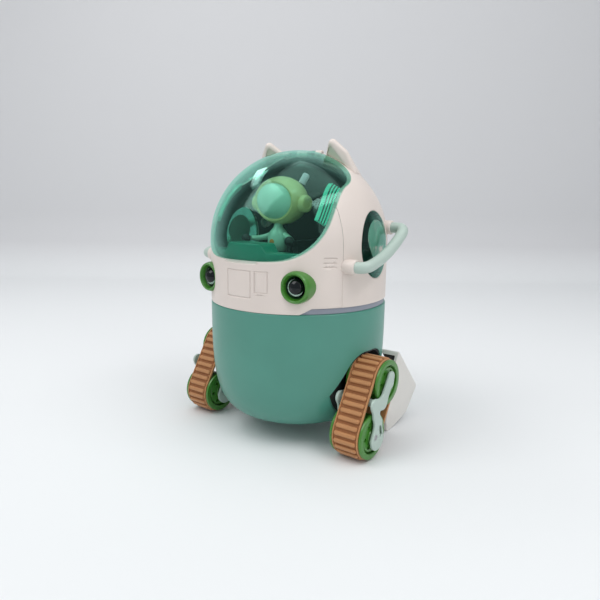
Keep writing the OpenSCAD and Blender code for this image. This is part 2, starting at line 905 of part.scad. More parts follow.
module battery_door_screws() {
    color(metal) on_axis()
        for (x = [-1, 1])
            translate([x * (door_w / 2 - 1.8), 0, belly_z + 0.2]) {
                cylinder(h = 0.8, r = 1.5);
                cylinder(h = 4, r = 0.9);
            }
}

lower_shell();
waist_band();
front_fascia();
rear_shell();
canopy();
canopy_hinge_pin();
side_window(LEFT);  // side_window_left
side_window(RIGHT);  // side_window_right
ear(LEFT);  // ear_left
ear(RIGHT);  // ear_right
inner_ear(LEFT);  // inner_ear_left
inner_ear(RIGHT);  // inner_ear_right
eye_bezel(LEFT);  // eye_bezel_left
eye_bezel(RIGHT);  // eye_bezel_right
eye_lens(LEFT);  // eye_lens_left
eye_lens(RIGHT);  // eye_lens_right
handle(LEFT);  // handle_left
handle(RIGHT);  // handle_right
track_belt(LEFT);  // track_belt_left
track_belt(RIGHT);  // track_belt_right
upper_wheel(LEFT);  // upper_wheel_left
upper_wheel(RIGHT);  // upper_wheel_right
lower_wheel(LEFT);  // lower_wheel_left
lower_wheel(RIGHT);  // lower_wheel_right
drive_shaft(LEFT);  // drive_shaft_left
drive_shaft(RIGHT);  // drive_shaft_right
lower_axle(LEFT);  // lower_axle_left
lower_axle(RIGHT);  // lower_axle_right
outer_track_plate(LEFT);  // outer_track_plate_left
outer_track_plate(RIGHT);  // outer_track_plate_right
inner_track_plate(LEFT);  // inner_track_plate_left
inner_track_plate(RIGHT);  // inner_track_plate_right
track_strut(LEFT);  // track_strut_left
track_strut(RIGHT);  // track_strut_right
well_liner(LEFT);  // well_liner_left
well_liner(RIGHT);  // well_liner_right
rear_foot(LEFT);  // rear_foot_left
rear_foot(RIGHT);  // rear_foot_right
cockpit_floor();
dashboard();
seat();
control_stick(LEFT);  // control_stick_left
control_stick(RIGHT);  // control_stick_right
wall_grille(LEFT);  // wall_grille_left
wall_grille(RIGHT);  // wall_grille_right
pilot_torso();
pilot_helmet();
pilot_visor();
chassis_deck();
motor_bracket(LEFT);  // motor_bracket_left
motor_bracket(RIGHT);  // motor_bracket_right
gear_motor(LEFT);  // gear_motor_left
gear_motor(RIGHT);  // gear_motor_right
battery_pack();
control_board();
battery_door();
battery_door_screws();
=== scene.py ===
from math import acos, atan2, copysign, cos, degrees, hypot, pi, radians, sin, sqrt, tan

import bmesh
import bpy
from mathutils import Matrix, Vector
from mathutils.geometry import tessellate_polygon


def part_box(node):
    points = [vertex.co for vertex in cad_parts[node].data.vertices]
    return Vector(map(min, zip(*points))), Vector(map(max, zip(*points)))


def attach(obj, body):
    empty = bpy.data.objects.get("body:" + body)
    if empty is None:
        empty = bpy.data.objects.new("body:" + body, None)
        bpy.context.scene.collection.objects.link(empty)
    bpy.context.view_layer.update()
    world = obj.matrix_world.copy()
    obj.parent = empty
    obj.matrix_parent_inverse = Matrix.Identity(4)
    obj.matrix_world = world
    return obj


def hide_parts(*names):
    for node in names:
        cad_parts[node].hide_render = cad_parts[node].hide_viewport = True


# Sizes are in millimetres, from the axis of the round body, facing -Y with +X on its left.
MM = 0.001
LEFT = 1
RIGHT = -1
SIDES = {"left": LEFT, "right": RIGHT}

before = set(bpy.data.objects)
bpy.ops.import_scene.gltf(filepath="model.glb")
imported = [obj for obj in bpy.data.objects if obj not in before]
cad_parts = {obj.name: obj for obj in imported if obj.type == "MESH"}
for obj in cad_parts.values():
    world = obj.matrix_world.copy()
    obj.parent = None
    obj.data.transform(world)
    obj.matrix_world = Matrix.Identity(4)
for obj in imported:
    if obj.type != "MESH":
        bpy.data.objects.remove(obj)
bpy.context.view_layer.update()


def axis_box(node):
    """Lowest and highest corner of a CAD node, in millimetres."""
    return [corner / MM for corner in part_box(node)]


shell_low, shell_high = axis_box("lower_shell")
BODY_Y = (shell_low.y + shell_high.y) / 2
BODY_R = (shell_high.x - shell_low.x) / 2
SEAM_Z = shell_high.z
BELLY_Z = shell_low.z
CANOPY_TOP = axis_box("canopy")[1].z
DOME_Z = CANOPY_TOP - BODY_R
WALL = 2.2
INNER_R = BODY_R - WALL
BAND_TOP = SEAM_Z + 2.9
SPLIT_Y = -21.4
CANOPY_T = 1.6
CANOPY_GAP = 0.3


def hub(node):
    """Centre of a wheel in the side view, with its lowest and highest X."""
    low, high = axis_box(node)
    middle = (low + high) / 2
    return Vector((middle.y - BODY_Y, middle.z)), low.x, high.x


TOP_HUB, WHEEL_IN, WHEEL_OUT = hub("upper_wheel_left")
LOW_HUB = hub("lower_wheel_left")[0]
BELT_IN, BELT_OUT = (corner.x for corner in axis_box("track_belt_left"))
OUTER_PLATE = [corner.x for corner in axis_box("outer_track_plate_left")]
INNER_PLATE = [corner.x for corner in axis_box("inner_track_plate_left")]


# ---------- camera, floor and light, with places in metres ----------

CAMERA_AT = Vector((0.1868, -0.2476, 0.1282))
CAMERA_HEADING, CAMERA_PITCH, CAMERA_ROLL = 37.089, 10.593, 0.63
LENS, SENSOR = 33.6, 36
SKY, SKY_POWER = (0.93, 0.96, 1, 1), 0.52
WALL_TURN = 37
FLOOR_COLOUR, WALL_COLOUR = (0.80, 0.815, 0.82), (0.64, 0.64, 0.65)
BODY_MIDDLE, ABOVE_BODY = (0, 0, 0.07), (0, 0, 0.12)
# Each lamp's place, width and height, power, and the point that it faces.
LIGHTS = {
    "key": ((-0.35, -0.55, 0.85), (0.6, 0.6), 3.3, BODY_MIDDLE),
    "top": ((0.1, 0.0, 0.95), (0.8, 0.8), 2.2, BODY_MIDDLE),
    "side": ((0.75, -0.2, 0.5), (0.4, 0.8), 1.2, BODY_MIDDLE),
    "right_strip": ((0.45, -0.01, 0.64), (0.5, 0.12), 0.9, ABOVE_BODY),
    "left_strip": ((-0.44, -0.04, 0.64), (0.3, 0.1), 0.5, ABOVE_BODY),
}


def add_camera():
    heading, pitch, roll = radians(CAMERA_HEADING), radians(CAMERA_PITCH), radians(CAMERA_ROLL)
    ahead = Vector((-sin(heading) * cos(pitch), cos(heading) * cos(pitch), -sin(pitch)))
    right = Vector((cos(heading), sin(heading), 0))
    up = right.cross(ahead)
    right, up = right * cos(roll) + up * sin(roll), up * cos(roll) - right * sin(roll)
    camera = bpy.data.objects.new("camera", bpy.data.cameras.new("camera"))
    camera.data.lens = LENS
    camera.data.sensor_width = SENSOR
    camera.data.clip_start = 0.01
    turned = Matrix((right, up, -ahead)).transposed().to_4x4()
    camera.matrix_world = Matrix.Translation(CAMERA_AT) @ turned
    bpy.context.scene.collection.objects.link(camera)
    bpy.context.scene.camera = camera


def add_light(name, at, size, power, aim):
    """A rectangular lamp that the camera doesn't see, turned towards a point."""
    light = bpy.data.lights.new(name, "AREA")
    light.shape = "RECTANGLE"
    light.size, light.size_y = size
    light.energy = power
    lamp = bpy.data.objects.new(name, light)
    lamp.location = at
    lamp.rotation_euler = (Vector(aim) - Vector(at)).to_track_quat("-Z", "Y").to_euler()
    lamp.visible_camera = False
    bpy.context.scene.collection.objects.link(lamp)


def add_world():
    world = bpy.data.worlds.new("studio")
    world.use_nodes = True
    set_inputs(world.node_tree.nodes["Background"], Color=SKY, Strength=SKY_POWER)
    bpy.context.scene.world = world
    bpy.context.scene.view_settings.view_transform = "Standard"


def add_stage():
    """A white table top that sweeps up into a pale grey wall, square to the camera."""
    reach, wall_at, bend, steps = 3.0, 0.62, 0.10, 12
    rows = []
    for x in (-reach, reach):
        row = [(x, -reach, 0), (x, wall_at - bend, 0)]
        for step in range(1, steps):
            turn = radians(90 * step / steps)
            row.append((x, wall_at - bend + bend * sin(turn), bend * (1 - cos(turn))))
        rows.append(row + [(x, wall_at, bend), (x, wall_at, reach)])
    count = len(rows[0])
    faces = [(i, i + 1, count + i + 1, count + i) for i in range(count - 1)]
    mesh = bpy.data.meshes.new("table_top")
    mesh.from_pydata(rows[0] + rows[1], [], faces)
    mesh.shade_smooth()
    floor = bpy.data.objects.new("table_top", mesh)
    floor.rotation_euler = (0, 0, radians(WALL_TURN))
    floor.data.materials.append(stage_material())
    bpy.context.scene.collection.objects.link(floor)


# ---------- materials ----------

def set_inputs(node, **values):
    for name, value in values.items():
        node.inputs[name.replace("_", " ")].default_value = value


def shade(colour, factor):
    return tuple(min(1, channel * factor) for channel in colour)


class Paint:
    """A material in the making, with short ways to add nodes and to join them."""

    def __init__(self, name):
        self.material = bpy.data.materials.new(name)
        self.material.use_nodes = True
        self.tree = self.material.node_tree
        self.shader = self.tree.nodes["Principled BSDF"]
        self.place = self.add("TexCoord").outputs["Object"]

    def add(self, kind, **inputs):
        node = self.tree.nodes.new("ShaderNode" + kind)
        set_inputs(node, **inputs)
        return node

    def join(self, output, node, name):
        self.tree.links.new(output, node.inputs[name])

    def noise(self, scale, detail=3.0, roughness=0.5):
        texture = self.add("TexNoise", Scale=scale, Detail=detail, Roughness=roughness)
        self.join(self.place, texture, "Vector")
        return texture.outputs["Fac"]

    def ramp(self, value, *stops, blend="LINEAR"):
        """The colour for a value, from stops that each hold a place on the range and a colour."""
        node = self.add("ValToRGB")
        elements = node.color_ramp.elements
        node.color_ramp.interpolation = blend
        for k, (position, colour) in enumerate(stops):
            stop = elements[k] if k < 2 else elements.new(position)
            stop.position = position
            stop.color = (*colour, 1)
        self.join(value, node, "Fac")
        return node.outputs["Color"]

    def mottled(self, value, colour, dark, light):
        """The colour, a little darker where a value is low and lighter where it is high."""
        return self.ramp(value, (0.35, shade(colour, dark)), (0.65, shade(colour, light)))

    def spread(self, value, low=0.0, high=1.0, top=1.0):
        """A value from 0 to top, mapped onto a range."""
        node = self.add("MapRange", From_Max=top, To_Min=low, To_Max=high)
        self.join(value, node, "Value")
        return node.outputs["Result"]


def moulded(name, colour, rough=0.42, grain=0.12, mottle=0.05, coat=0.0, sheen=0.0, **extra):
    """Moulded plastic or rubber: faint mottling, uneven gloss and a fine surface grain."""
    cloud_scale, wear_scale, grain_scale, grain_height, uneven = 38, 260, 2600, 0.00006, 0.06
    paint = Paint(name)
    clouds = paint.mottled(paint.noise(cloud_scale, 4), colour, 1 - mottle, 1 + mottle)
    paint.join(clouds, paint.shader, "Base Color")
    wear = paint.spread(paint.noise(wear_scale, 5, 0.6), rough - uneven, rough + uneven)
    paint.join(wear, paint.shader, "Roughness")
    bump = paint.add("Bump", Strength=grain, Distance=grain_height)
    paint.join(paint.noise(grain_scale, 2), bump, "Height")
    paint.join(bump.outputs["Normal"], paint.shader, "Normal")
    set_inputs(paint.shader, Coat_Weight=coat, Coat_Roughness=0.12, Sheen_Weight=sheen, **extra)
    return paint.material


def clear_plastic(name, tint, mirror_rough=0.035):
    """Tinted clear plastic: light passes through it, and it mirrors more at a grazing angle."""
    mirror_share = ((0.0, 0.02), (0.42, 0.05), (0.64, 0.30), (1.0, 0.9))
    paint = Paint(name)
    paint.tree.nodes.remove(paint.shader)
    through = paint.add("BsdfTransparent")
    paint.join(paint.mottled(paint.noise(30), tint, 0.97, 1.03), through, "Color")
    mirror = paint.add("BsdfGlossy", Color=(0.58, 0.97, 0.86, 1))
    smear = paint.spread(paint.noise(60, 5), mirror_rough * 0.5, mirror_rough * 2)
    paint.join(smear, mirror, "Roughness")
    facing = paint.add("LayerWeight", Blend=0.5).outputs["Facing"]
    stops = [(position, (level, level, level)) for position, level in mirror_share]
    mix = paint.add("MixShader")
    paint.join(paint.ramp(facing, *stops, blend="EASE"), mix, "Fac")
    paint.join(through.outputs["BSDF"], mix, 1)
    paint.join(mirror.outputs["BSDF"], mix, 2)
    paint.join(mix.outputs["Shader"], paint.tree.nodes["Material Output"], "Surface")
    return paint.material


def metal(name, colour, rough):
    paint = Paint(name)
    paint.join(paint.mottled(paint.noise(300), colour, 0.9, 1.05), paint.shader, "Base Color")
    paint.join(paint.spread(paint.noise(900, 4), rough - 0.08, rough + 0.1), paint.shader, "Roughness")
    set_inputs(paint.shader, Metallic=1.0)
    return paint.material


def stage_material():
    """White on the floor, and a pale grey from a little way up the sweep."""
    grey_from = 0.05
    paint = Paint("studio_paper")
    split = paint.add("SeparateXYZ")
    paint.join(paint.place, split, "Vector")
    height = paint.spread(split.outputs["Z"], top=grey_from)
    paint.join(paint.ramp(height, (0, FLOOR_COLOUR), (1, WALL_COLOUR)), paint.shader, "Base Color")
    set_inputs(paint.shader, Roughness=0.75)
    return paint.material


# Plastics and paints: name, colour, roughness, strength of the grain, and mottling.
TEAL = (0.070, 0.268, 0.206)
CREAM = (0.74, 0.655, 0.60)
MATERIALS = {
    "teal_plastic": moulded("teal_satin_plastic", TEAL, 0.40, 0.16, 0.03, coat=0.15),
    "cream_plastic": moulded("cream_satin_plastic", CREAM, 0.44, 0.14, 0.025, coat=0.1),
    "white_plastic": moulded("foot_satin_plastic", (0.72, 0.70, 0.66), 0.46, 0.14, 0.025),
    # Painted shade: the cream shells' insides and the cockpit floor are coloured dark teal.
    "cockpit_painted_shade": moulded("cockpit_dark_painted_shade", (0.018, 0.080, 0.070), 0.5, 0.14),
    # Painted shade: the hollow inside each foot is coloured near-black brown.
    "foot_hollow_painted_shade": moulded("foot_hollow_dark_painted_shade", (0.035, 0.020, 0.014), 0.6, 0.14),
    "band_plastic": moulded("band_grey_plastic", (0.27, 0.29, 0.345), 0.45, 0.12, 0.04),
    "clear_green_plastic": clear_plastic("clear_green_plastic", (0.72, 0.895, 0.85)),
    "window_green": clear_plastic("window_green_plastic", (0.36, 0.66, 0.58)),
    "steel": metal("turned_steel", (0.62, 0.62, 0.64), 0.3),
    "ear_lining": moulded("ear_lining_plastic", (0.80, 0.755, 0.65), 0.6, 0.3, 0.06),
    "leaf_green_plastic": moulded("leaf_green_plastic", (0.048, 0.208, 0.019), 0.33, 0.1, coat=0.3),
    # Painted shade: the inner slope round each lens is coloured near black.
    "eye_ring": moulded("eye_slope_painted_shade", (0.008, 0.045, 0.012), 0.35, 0.1, coat=0.3),
    "eye_lens": moulded("polished_lens", (0.001, 0.004, 0.005), 0.07, 0.0, 0.1,
                        Specular_IOR_Level=0.35),
    # Painted reflection: the light crescent on each lens.
    "eye_glint": moulded("lens_painted_reflection", (0.55, 0.70, 0.65), 0.12, 0.0, coat=0.5),
    "mint_plastic": moulded("mint_satin_plastic", (0.44, 0.545, 0.485), 0.42, 0.14, 0.03, coat=0.1),
    "belt_rubber": moulded("tan_rubber", (0.47, 0.215, 0.080), 0.58, 0.45, 0.10, sheen=0.15),
    # Painted shade for the channels between the belt's ribs.
    "belt_groove_painted_shade": moulded("tan_rubber_in_shade", (0.32, 0.125, 0.042), 0.7, 0.45, 0.12),
    "black_plastic": moulded("black_matt_plastic", (0.012, 0.014, 0.014), 0.55, 0.2, 0.1),
    "dashboard_plastic": moulded("dashboard_green_plastic", (0.016, 0.27, 0.18), 0.3, 0.1, coat=0.5),
    "grille_plastic": moulded("turquoise_plastic", (0.10, 0.80, 0.55), 0.3, 0.1, coat=0.4),
    "pilot_suit": moulded("mint_figure_paint", (0.50, 0.70, 0.56), 0.35, 0.08, 0.04, coat=0.4),
    "pilot_helmet": moulded("yellow_green_figure_paint", (0.70, 0.59, 0.26), 0.33, 0.08, 0.04, coat=0.4),
    "pilot_badge": moulded("orange_figure_paint", (0.75, 0.25, 0.04), 0.4, 0.08),
    "pilot_antenna": moulded("antenna_plastic", (0.72, 0.56, 0.64), 0.4, 0.08),
    "motor_can": metal("zinc_can", (0.5, 0.5, 0.5), 0.42),
    "battery_wrap": moulded("shrink_wrap", (0.05, 0.11, 0.32), 0.35, 0.2, 0.08),
    "circuit_board": moulded("solder_mask", (0.01, 0.10, 0.035), 0.3, 0.3, 0.15, coat=0.3),
}


# ---------- mesh helpers ----------

def loft(rings, loop=False, caps=True):
    """Points and faces of a skin over rings of points, closed at its ends or joined end to end."""
    count = len(rings[0])
    points = [Vector(point) for ring in rings for point in ring]
    faces = []
    for i in range(len(rings) if loop else len(rings) - 1):
        low, high = i * count, (i + 1) % len(rings) * count
        faces += [(low + j, low + (j + 1) % count, high + (j + 1) % count, high + j) for j in range(count)]
    if caps and not loop:
        faces += [tuple(range(count)), tuple(range(len(points) - count, len(points)))]
    return points, faces


def joined(*parts):
    points, faces = [], []
    for part_points, part_faces in parts:
        faces += [tuple(len(points) + i for i in face) for face in part_faces]
        points += part_points
    return points, faces


def turned(angle, axis):
    return Matrix.Rotation(radians(angle), 4, axis)


def moved(part, matrix):
    return [matrix @ point for point in part[0]], part[1]


def mirrored(part):
    return moved(part, Matrix.Scale(-1, 4, (1, 0, 0)))


def make(name, part, material, side=LEFT):
    """A mesh object from points and faces, mirrored for the right-hand side."""
    points, faces = part
    mesh = bpy.data.meshes.new(name)
    mesh.from_pydata([(p[0] * side * MM, (p[1] + BODY_Y) * MM, p[2] * MM) for p in points], [], faces)
    work = bmesh.new()
    work.from_mesh(mesh)
    bmesh.ops.remove_doubles(work, verts=work.verts, dist=1e-7)
    bmesh.ops.recalc_face_normals(work, faces=work.faces)
    work.to_mesh(mesh)
    work.free()
    if material:
        mesh.materials.append(MATERIALS[material])
    obj = bpy.data.objects.new(name, mesh)
    bpy.context.scene.collection.objects.link(obj)
    return obj


def cutter(part, side=LEFT, material=None):
    return make("cutter", part, material, side)


def apply_modifiers(obj):
    graph = bpy.context.evaluated_depsgraph_get()
    mesh = bpy.data.meshes.new_from_object(obj.evaluated_get(graph))
    obj.modifiers.clear()
    obj.data = mesh


def add_bevel(obj, width, segments=3, angle=32, miter="MITER_ARC"):
    bevel = obj.modifiers.new("rounding", "BEVEL")
    bevel.width = width * MM
    bevel.segments = segments
    bevel.limit_method = "ANGLE"
    bevel.angle_limit = radians(angle)
    bevel.miter_outer = miter
    bevel.harden_normals = True


def round_edges(obj, width, segments=3):
    add_bevel(obj, width, segments)
    obj.data.shade_smooth()


def smooth(obj, angle=32):
    obj.data.shade_smooth()
    obj.data.set_sharp_from_angle(angle=radians(angle))


def cut(obj, *cutters, operation="DIFFERENCE"):
    """Cuts other meshes out of an object for good, and deletes them."""
    for tool in cutters:
        boolean = obj.modifiers.new("cut", "BOOLEAN")
        boolean.object = tool
        boolean.operation = operation
        boolean.solver = "EXACT"
        if tool.data.materials:
            boolean.material_mode = "TRANSFER"
    bpy.context.view_layer.update()
    apply_modifiers(obj)
    for tool in cutters:
        bpy.data.objects.remove(tool)


def finished(obj, body="body", nodes=()):
    """Puts a piece on its body, and hides the CAD nodes that it stands for."""
    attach(obj, body)
    if nodes:
        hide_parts(*nodes)
    return obj


def piece(name, part, material, nodes=(), body="body", side=LEFT, angle=32, holes=(), inside=None):
    """A mesh with parts cut out of it, shaded smooth and put on its body."""
    obj = make(name, part, material, side)
    if holes:
        cut(obj, *(cutter(hole, side, inside) for hole in holes))
    smooth(obj, angle)
    return finished(obj, body, nodes)


def rounded_piece(name, part, material, width, nodes, body="body", side=LEFT, segments=3):
    """A mesh whose sharp edges are rounded, put on its body."""
    obj = make(name, part, material, side)
    round_edges(obj, width, segments)
    finished(obj, body, nodes)


def pair(name, part, material, node=None, **options):
    """The same piece on the left and the right, each standing for its own CAD node."""
    return [piece(f"{name}_{word}", part, material, [f"{node}_{word}"] if node else (), side=side, **options)
            for word, side in SIDES.items()]


def circle(radius, steps, start=0.0, turn=360.0):
    """Points on an arc from a start angle, in degrees; a closed ring when it turns all the way."""
    count = steps if turn == 360 else steps + 1
    angles = [radians(start + turn * i / steps) for i in range(count)]
    return [(radius * cos(angle), radius * sin(angle)) for angle in angles]


def disc(radius, low, high, steps):
    """A round bar about Z, between two heights."""
    return loft([[(*v, h) for v in circle(radius, steps)] for h in (low, high)])


def x_prism(outline, low, high):
    """A side view outline stretched from one X to another."""
    return loft([[(x, *point) for point in outline] for x in (low, high)])


def x_bar(low, high, y, z, radius, steps=48):
    return x_prism([(y + c, z + s) for c, s in circle(radius, steps)], low, high)


def y_block(x_half, y_start, y_end, z_low, z_high):
    """A box that is centred on X."""
    corners = ((-x_half, z_low), (x_half, z_low), (x_half, z_high), (-x_half, z_high))
    return loft([[(x, y, z) for x, z in corners] for y in (y_start, y_end)])


def revolve(profile, steps=96, axis="Z", at=(0, 0, 0)):
    """A closed outline of (radius, height) points turned about an axis."""
    rings = []
    for c, s in circle(1, steps):
        if axis == "Z":
            rings.append([(r * c, r * s, h) for r, h in profile])
        else:
            rings.append([(h, r * c, r * s) for r, h in profile])
    return moved(loft(rings, loop=True), Matrix.Translation(at))


def ellipsoid(centre, radii, steps=48):
    rows = steps // 2
    rings = []
    for i in range(rows + 1):
        turn = radians(-90 + 180 * i / rows)
        rings.append([(centre[0] + radii[0] * cos(turn) * c, centre[1] + radii[1] * cos(turn) * s,
                       centre[2] + radii[2] * sin(turn)) for c, s in circle(1, steps)])
    return loft(rings, caps=False)


def cubic(a, b, c, d, steps):
    """Points after a, up to d, on the curve with those four handles."""
    result = []
    for i in range(1, steps + 1):
        t = i / steps
        result.append(Vector(a) * (1 - t) ** 3 + Vector(b) * 3 * t * (1 - t) ** 2
                      + Vector(c) * 3 * t * t * (1 - t) + Vector(d) * t ** 3)
    return result


def tube(path, radii, sides):
    """A round bar along a path, with a radius for each point of the path."""
    rings = []
    aside = None
    for i, point in enumerate(path):
        along = (path[min(i + 1, len(path) - 1)] - path[max(i - 1, 0)]).normalized()
        if aside is None:
            aside = along.orthogonal()
        aside = (aside - along * aside.dot(along)).normalized()
        over = along.cross(aside)
        rings.append([point + radii[i] * (c * aside + s * over) for c, s in circle(1, sides)])
    return loft(rings)


def rounded(corners, steps=6):
    """An outline with an arc of the given radius at each (y, z, radius) corner."""
    result = []
    count = len(corners)
    for i, (y, z, radius) in enumerate(corners):
        corner = Vector((y, z))
        if radius == 0:
            result.append(corner)
            continue
        back = (Vector(corners[i - 1][:2]) - corner).normalized()
        ahead = (Vector(corners[(i + 1) % count][:2]) - corner).normalized()
        half = back.angle(ahead) / 2
        centre = corner + (back + ahead).normalized() * radius / sin(half)
        start = corner + back * radius / tan(half) - centre
        sweep = start.angle_signed(corner + ahead * radius / tan(half) - centre)
        result += [centre + Matrix.Rotation(-sweep * k / steps, 2) @ start for k in range(steps + 1)]
    return result


def inset(outline, distance):
    """An outline moved inwards, for one that runs anticlockwise."""
    sharpest = 0.4
    result = []
    count = len(outline)
    for i, point in enumerate(outline):
        before = (point - outline[i - 1]).normalized()
        after = (outline[(i + 1) % count] - point).normalized()
        normal = Vector((-before.y - after.y, before.x + after.x))
        normal.normalize()
        lean = max(sharpest, normal.dot(Vector((-before.y, before.x))))
        result.append(point + normal * distance / lean)
    return result


def turned_left(outline):
    """The same outline, running anticlockwise."""
    area = sum(outline[i - 1].x * p.y - p.x * outline[i - 1].y for i, p in enumerate(outline))
    return outline if area > 0 else outline[::-1]


def slab(outline, low, high, edge, steps, holes=()):
    """A plate in the side view, from one X to another, with rounded edges and holes."""
    loops = [turned_left(outline)] + [turned_left(hole)[::-1] for hole in holes]
    levels = []
    for k in range(steps + 1):
        turn = radians(90 * k / steps)
        levels.append((low + edge * (1 - sin(turn)), edge * (1 - cos(turn))))
    stack = [(x, d) for x, d in reversed(levels)] + [(low + high - x, d) for x, d in levels]
    walls = [loft([[(x, *p) for p in inset(line, d)] for x, d in stack], caps=False) for line in loops]
    body = joined(*walls)
    flat = [[p.to_3d() for p in inset(line, edge)] for line in loops]
    triangles = tessellate_polygon(flat)
    for level in (0, len(stack) - 1):
        corners = []
        start = 0
        for line in loops:
            corners += [start + level * len(line) + i for i in range(len(line))]
            start += len(stack) * len(line)
        body[1].extend(tuple(corners[i] for i in triangle) for triangle in triangles)
    return body


def evenly(points, count):
    """The same line with that many points, evenly spaced along it."""
    lengths = [0.0]
    for a, b in zip(points, points[1:]):
        lengths.append(lengths[-1] + (b - a).length)
    result = []
    k = 0
    for i in range(count):
        want = lengths[-1] * i / (count - 1)
        while k < len(points) - 2 and lengths[k + 1] < want:
            k += 1
        span = lengths[k + 1] - lengths[k]
        result.append(points[k].lerp(points[k + 1], (want - lengths[k]) / span if span else 0))
    return result


def spaced(low, high, step):
    """Evenly spaced numbers from low up to, but without, high."""
    count = max(1, round((high - low) / step))
    return [low + (high - low) * i / count for i in range(count)]


def halved(low, high, holds, steps):
    """The highest number between two for which a test still holds."""
    for _ in range(steps):
        middle = (low + high) / 2
        if holds(middle):
            low = middle
        else:
            high = middle
    return low


def contours(field, low, high, step):
    """Closed lines, in the side view, round every place where a field is below zero."""
    across = int((high[0] - low[0]) / step) + 1
    along = int((high[1] - low[1]) / step) + 1
    spots = [[Vector((low[0] + i * step, low[1] + j * step)) for j in range(along)]
             for i in range(across)]
    values = [[field(spot) for spot in row] for row in spots]
    points, links = {}, {}
    for i in range(across - 1):
        for j in range(along - 1):
            corners = ((i, j), (i + 1, j), (i + 1, j + 1), (i, j + 1))
            crossed = []
            for a, b in zip(corners, corners[1:] + corners[:1]):
                u, v = values[a[0]][a[1]], values[b[0]][b[1]]
                if (u < 0) != (v < 0):
                    key = (min(a, b), max(a, b))
                    points[key] = spots[a[0]][a[1]].lerp(spots[b[0]][b[1]], u / (u - v))
                    crossed.append(key)
            for k in range(0, len(crossed) - 1, 2):
                links.setdefault(crossed[k], []).append(crossed[k + 1])
                links.setdefault(crossed[k + 1], []).append(crossed[k])
    return walked(points, links)


def walked(points, links):
    """Loops of points, each one followed from link to link until it closes."""
    loops = []
    while links:
        at = next(iter(links))
        loop = []
        while at in links:
            loop.append(points[at])
            ahead = [key for key in links.pop(at) if key in links]
            if ahead:
                at = ahead[0]
        loops.append(loop)
    return loops


# ---------- body shells ----------

PROUD = 0.6     # how far a cutter stands out of the skin
SPLIT_TURN = 63.5
INNER_SPLIT_TURN = degrees(acos(-SPLIT_Y / INNER_R))
CHIN_START, CHIN_END = 37.9, 45.1
GROOVE_W, GROOVE_D = 0.26, 0.22


def surface_x(y, z, radius):
    """Distance from the middle plane to the cylinder and dome of a given radius."""
    above = max(0.0, z - DOME_Z)
    return sqrt(max(0.0, radius ** 2 - y ** 2 - above ** 2))


def canopy_edge():
    """The canopy's edge in the side view: curves between named corners."""
    front, sill, middle = Vector((-46.6, 97.1)), Vector((-44.6, 97.4)), Vector((-26.8, 114.8))
    lobe, back = Vector((-9.7, 133.3)), Vector((1.4, 146))
    edge = [front] + cubic(front, front + Vector((0.7, 0.1)), sill - Vector((0.7, 0.1)), sill, 4)
    edge += cubic(sill, sill + Vector((7.1, 0.8)), middle - Vector((4.2, 7.3)), middle, 22)
    edge += cubic(middle, middle + Vector((4.8, 8.4)), lobe - Vector((7.3, 2.8)), lobe, 18)
    return edge + cubic(lobe, lobe + Vector((6.2, 2.4)), back - Vector((0, 6.5)), back, 16)


EDGE = canopy_edge()
PIVOT = Vector((EDGE[-1].x, EDGE[0].y))


def edge_z(y):
    """Height of the canopy's edge above a place in the side view."""
    if y <= EDGE[0].x:
        return EDGE[0].y
    for a, b in zip(EDGE, EDGE[1:]):
        if y <= b.x:
            return a.y + (b.y - a.y) * (y - a.x) / (b.x - a.x)
    return EDGE[-1].y


def under_canopy(y, z):
    return y - CANOPY_GAP < PIVOT.x and z + CANOPY_GAP > edge_z(y - CANOPY_GAP)


def chin_z(turn):
    """Bottom edge of the upper shells, at an angle from straight ahead."""
    share = (min(abs(turn), 360 - abs(turn)) - CHIN_START) / (CHIN_END - CHIN_START)
    return SEAM_Z + (BAND_TOP - SEAM_Z) * min(1, max(0, share))


def column(turn, radius, low):
    """Points up the skin from its bottom edge to the canopy's edge, at an angle from straight ahead."""
    sine, cosine = sin(radians(turn)), cos(radians(turn))

    def place(angle):
        """On the front half the columns lie in planes square to Y, and on the back half in radial ones."""
        if cosine >= 0:
            reach = radius * abs(sine)
            return Vector((copysign(reach * cos(angle), sine), -radius * cosine, DOME_Z + reach * sin(angle)))
        return Vector((radius * sine * cos(angle), -radius * cosine * cos(angle),
                       DOME_Z + radius * sin(angle)))

    foot = place(0)
    foot.z = low
    if under_canopy(foot.y, DOME_Z):
        return [foot, Vector((foot.x, foot.y, edge_z(foot.y - CANOPY_GAP) - CANOPY_GAP))]
    end = halved(0.0, pi / 2, lambda angle: not under_canopy(*place(angle).yz), 40)
    steps = 60
    return [foot] + [place(end * i / steps) for i in range(steps + 1)]


def upper_shell(turns, rows, inner_turn):
    """Solid shell over a run of angles, with its inner angles made to share the end planes."""
    rings = []
    for turn in turns:
        outside = evenly(column(turn, BODY_R, chin_z(turn)), rows)
        inside = evenly(column(inner_turn(turn), INNER_R, chin_z(turn)), rows)
        rings.append(outside + inside[::-1])
    return loft(rings)


def eye_place(side=LEFT):
    """Matrix that puts a piece on the eye's axis, with its +Z pointing out of the face."""
    eye_turn, eye_aim, eye_z = 36, 8, 85.4
    return (turned(eye_turn * side, "Z") @ Matrix.Translation((0, -BODY_R, eye_z))
            @ turned((eye_aim - eye_turn) * side, "Z") @ turned(90, "X"))


def on_face(x, z, radius):
    return Vector((x, -sqrt(radius ** 2 - x ** 2), z))


def groove(outline, closed=True):
    """Cutter for a groove in the face: pairs of points, in X and Z, on its two sides."""
    out, deep = BODY_R + PROUD, BODY_R - GROOVE_D
    rings = [[on_face(*a, out), on_face(*b, out), on_face(*b, deep), on_face(*a, deep)] for a, b in outline]
    return loft(rings, loop=closed)


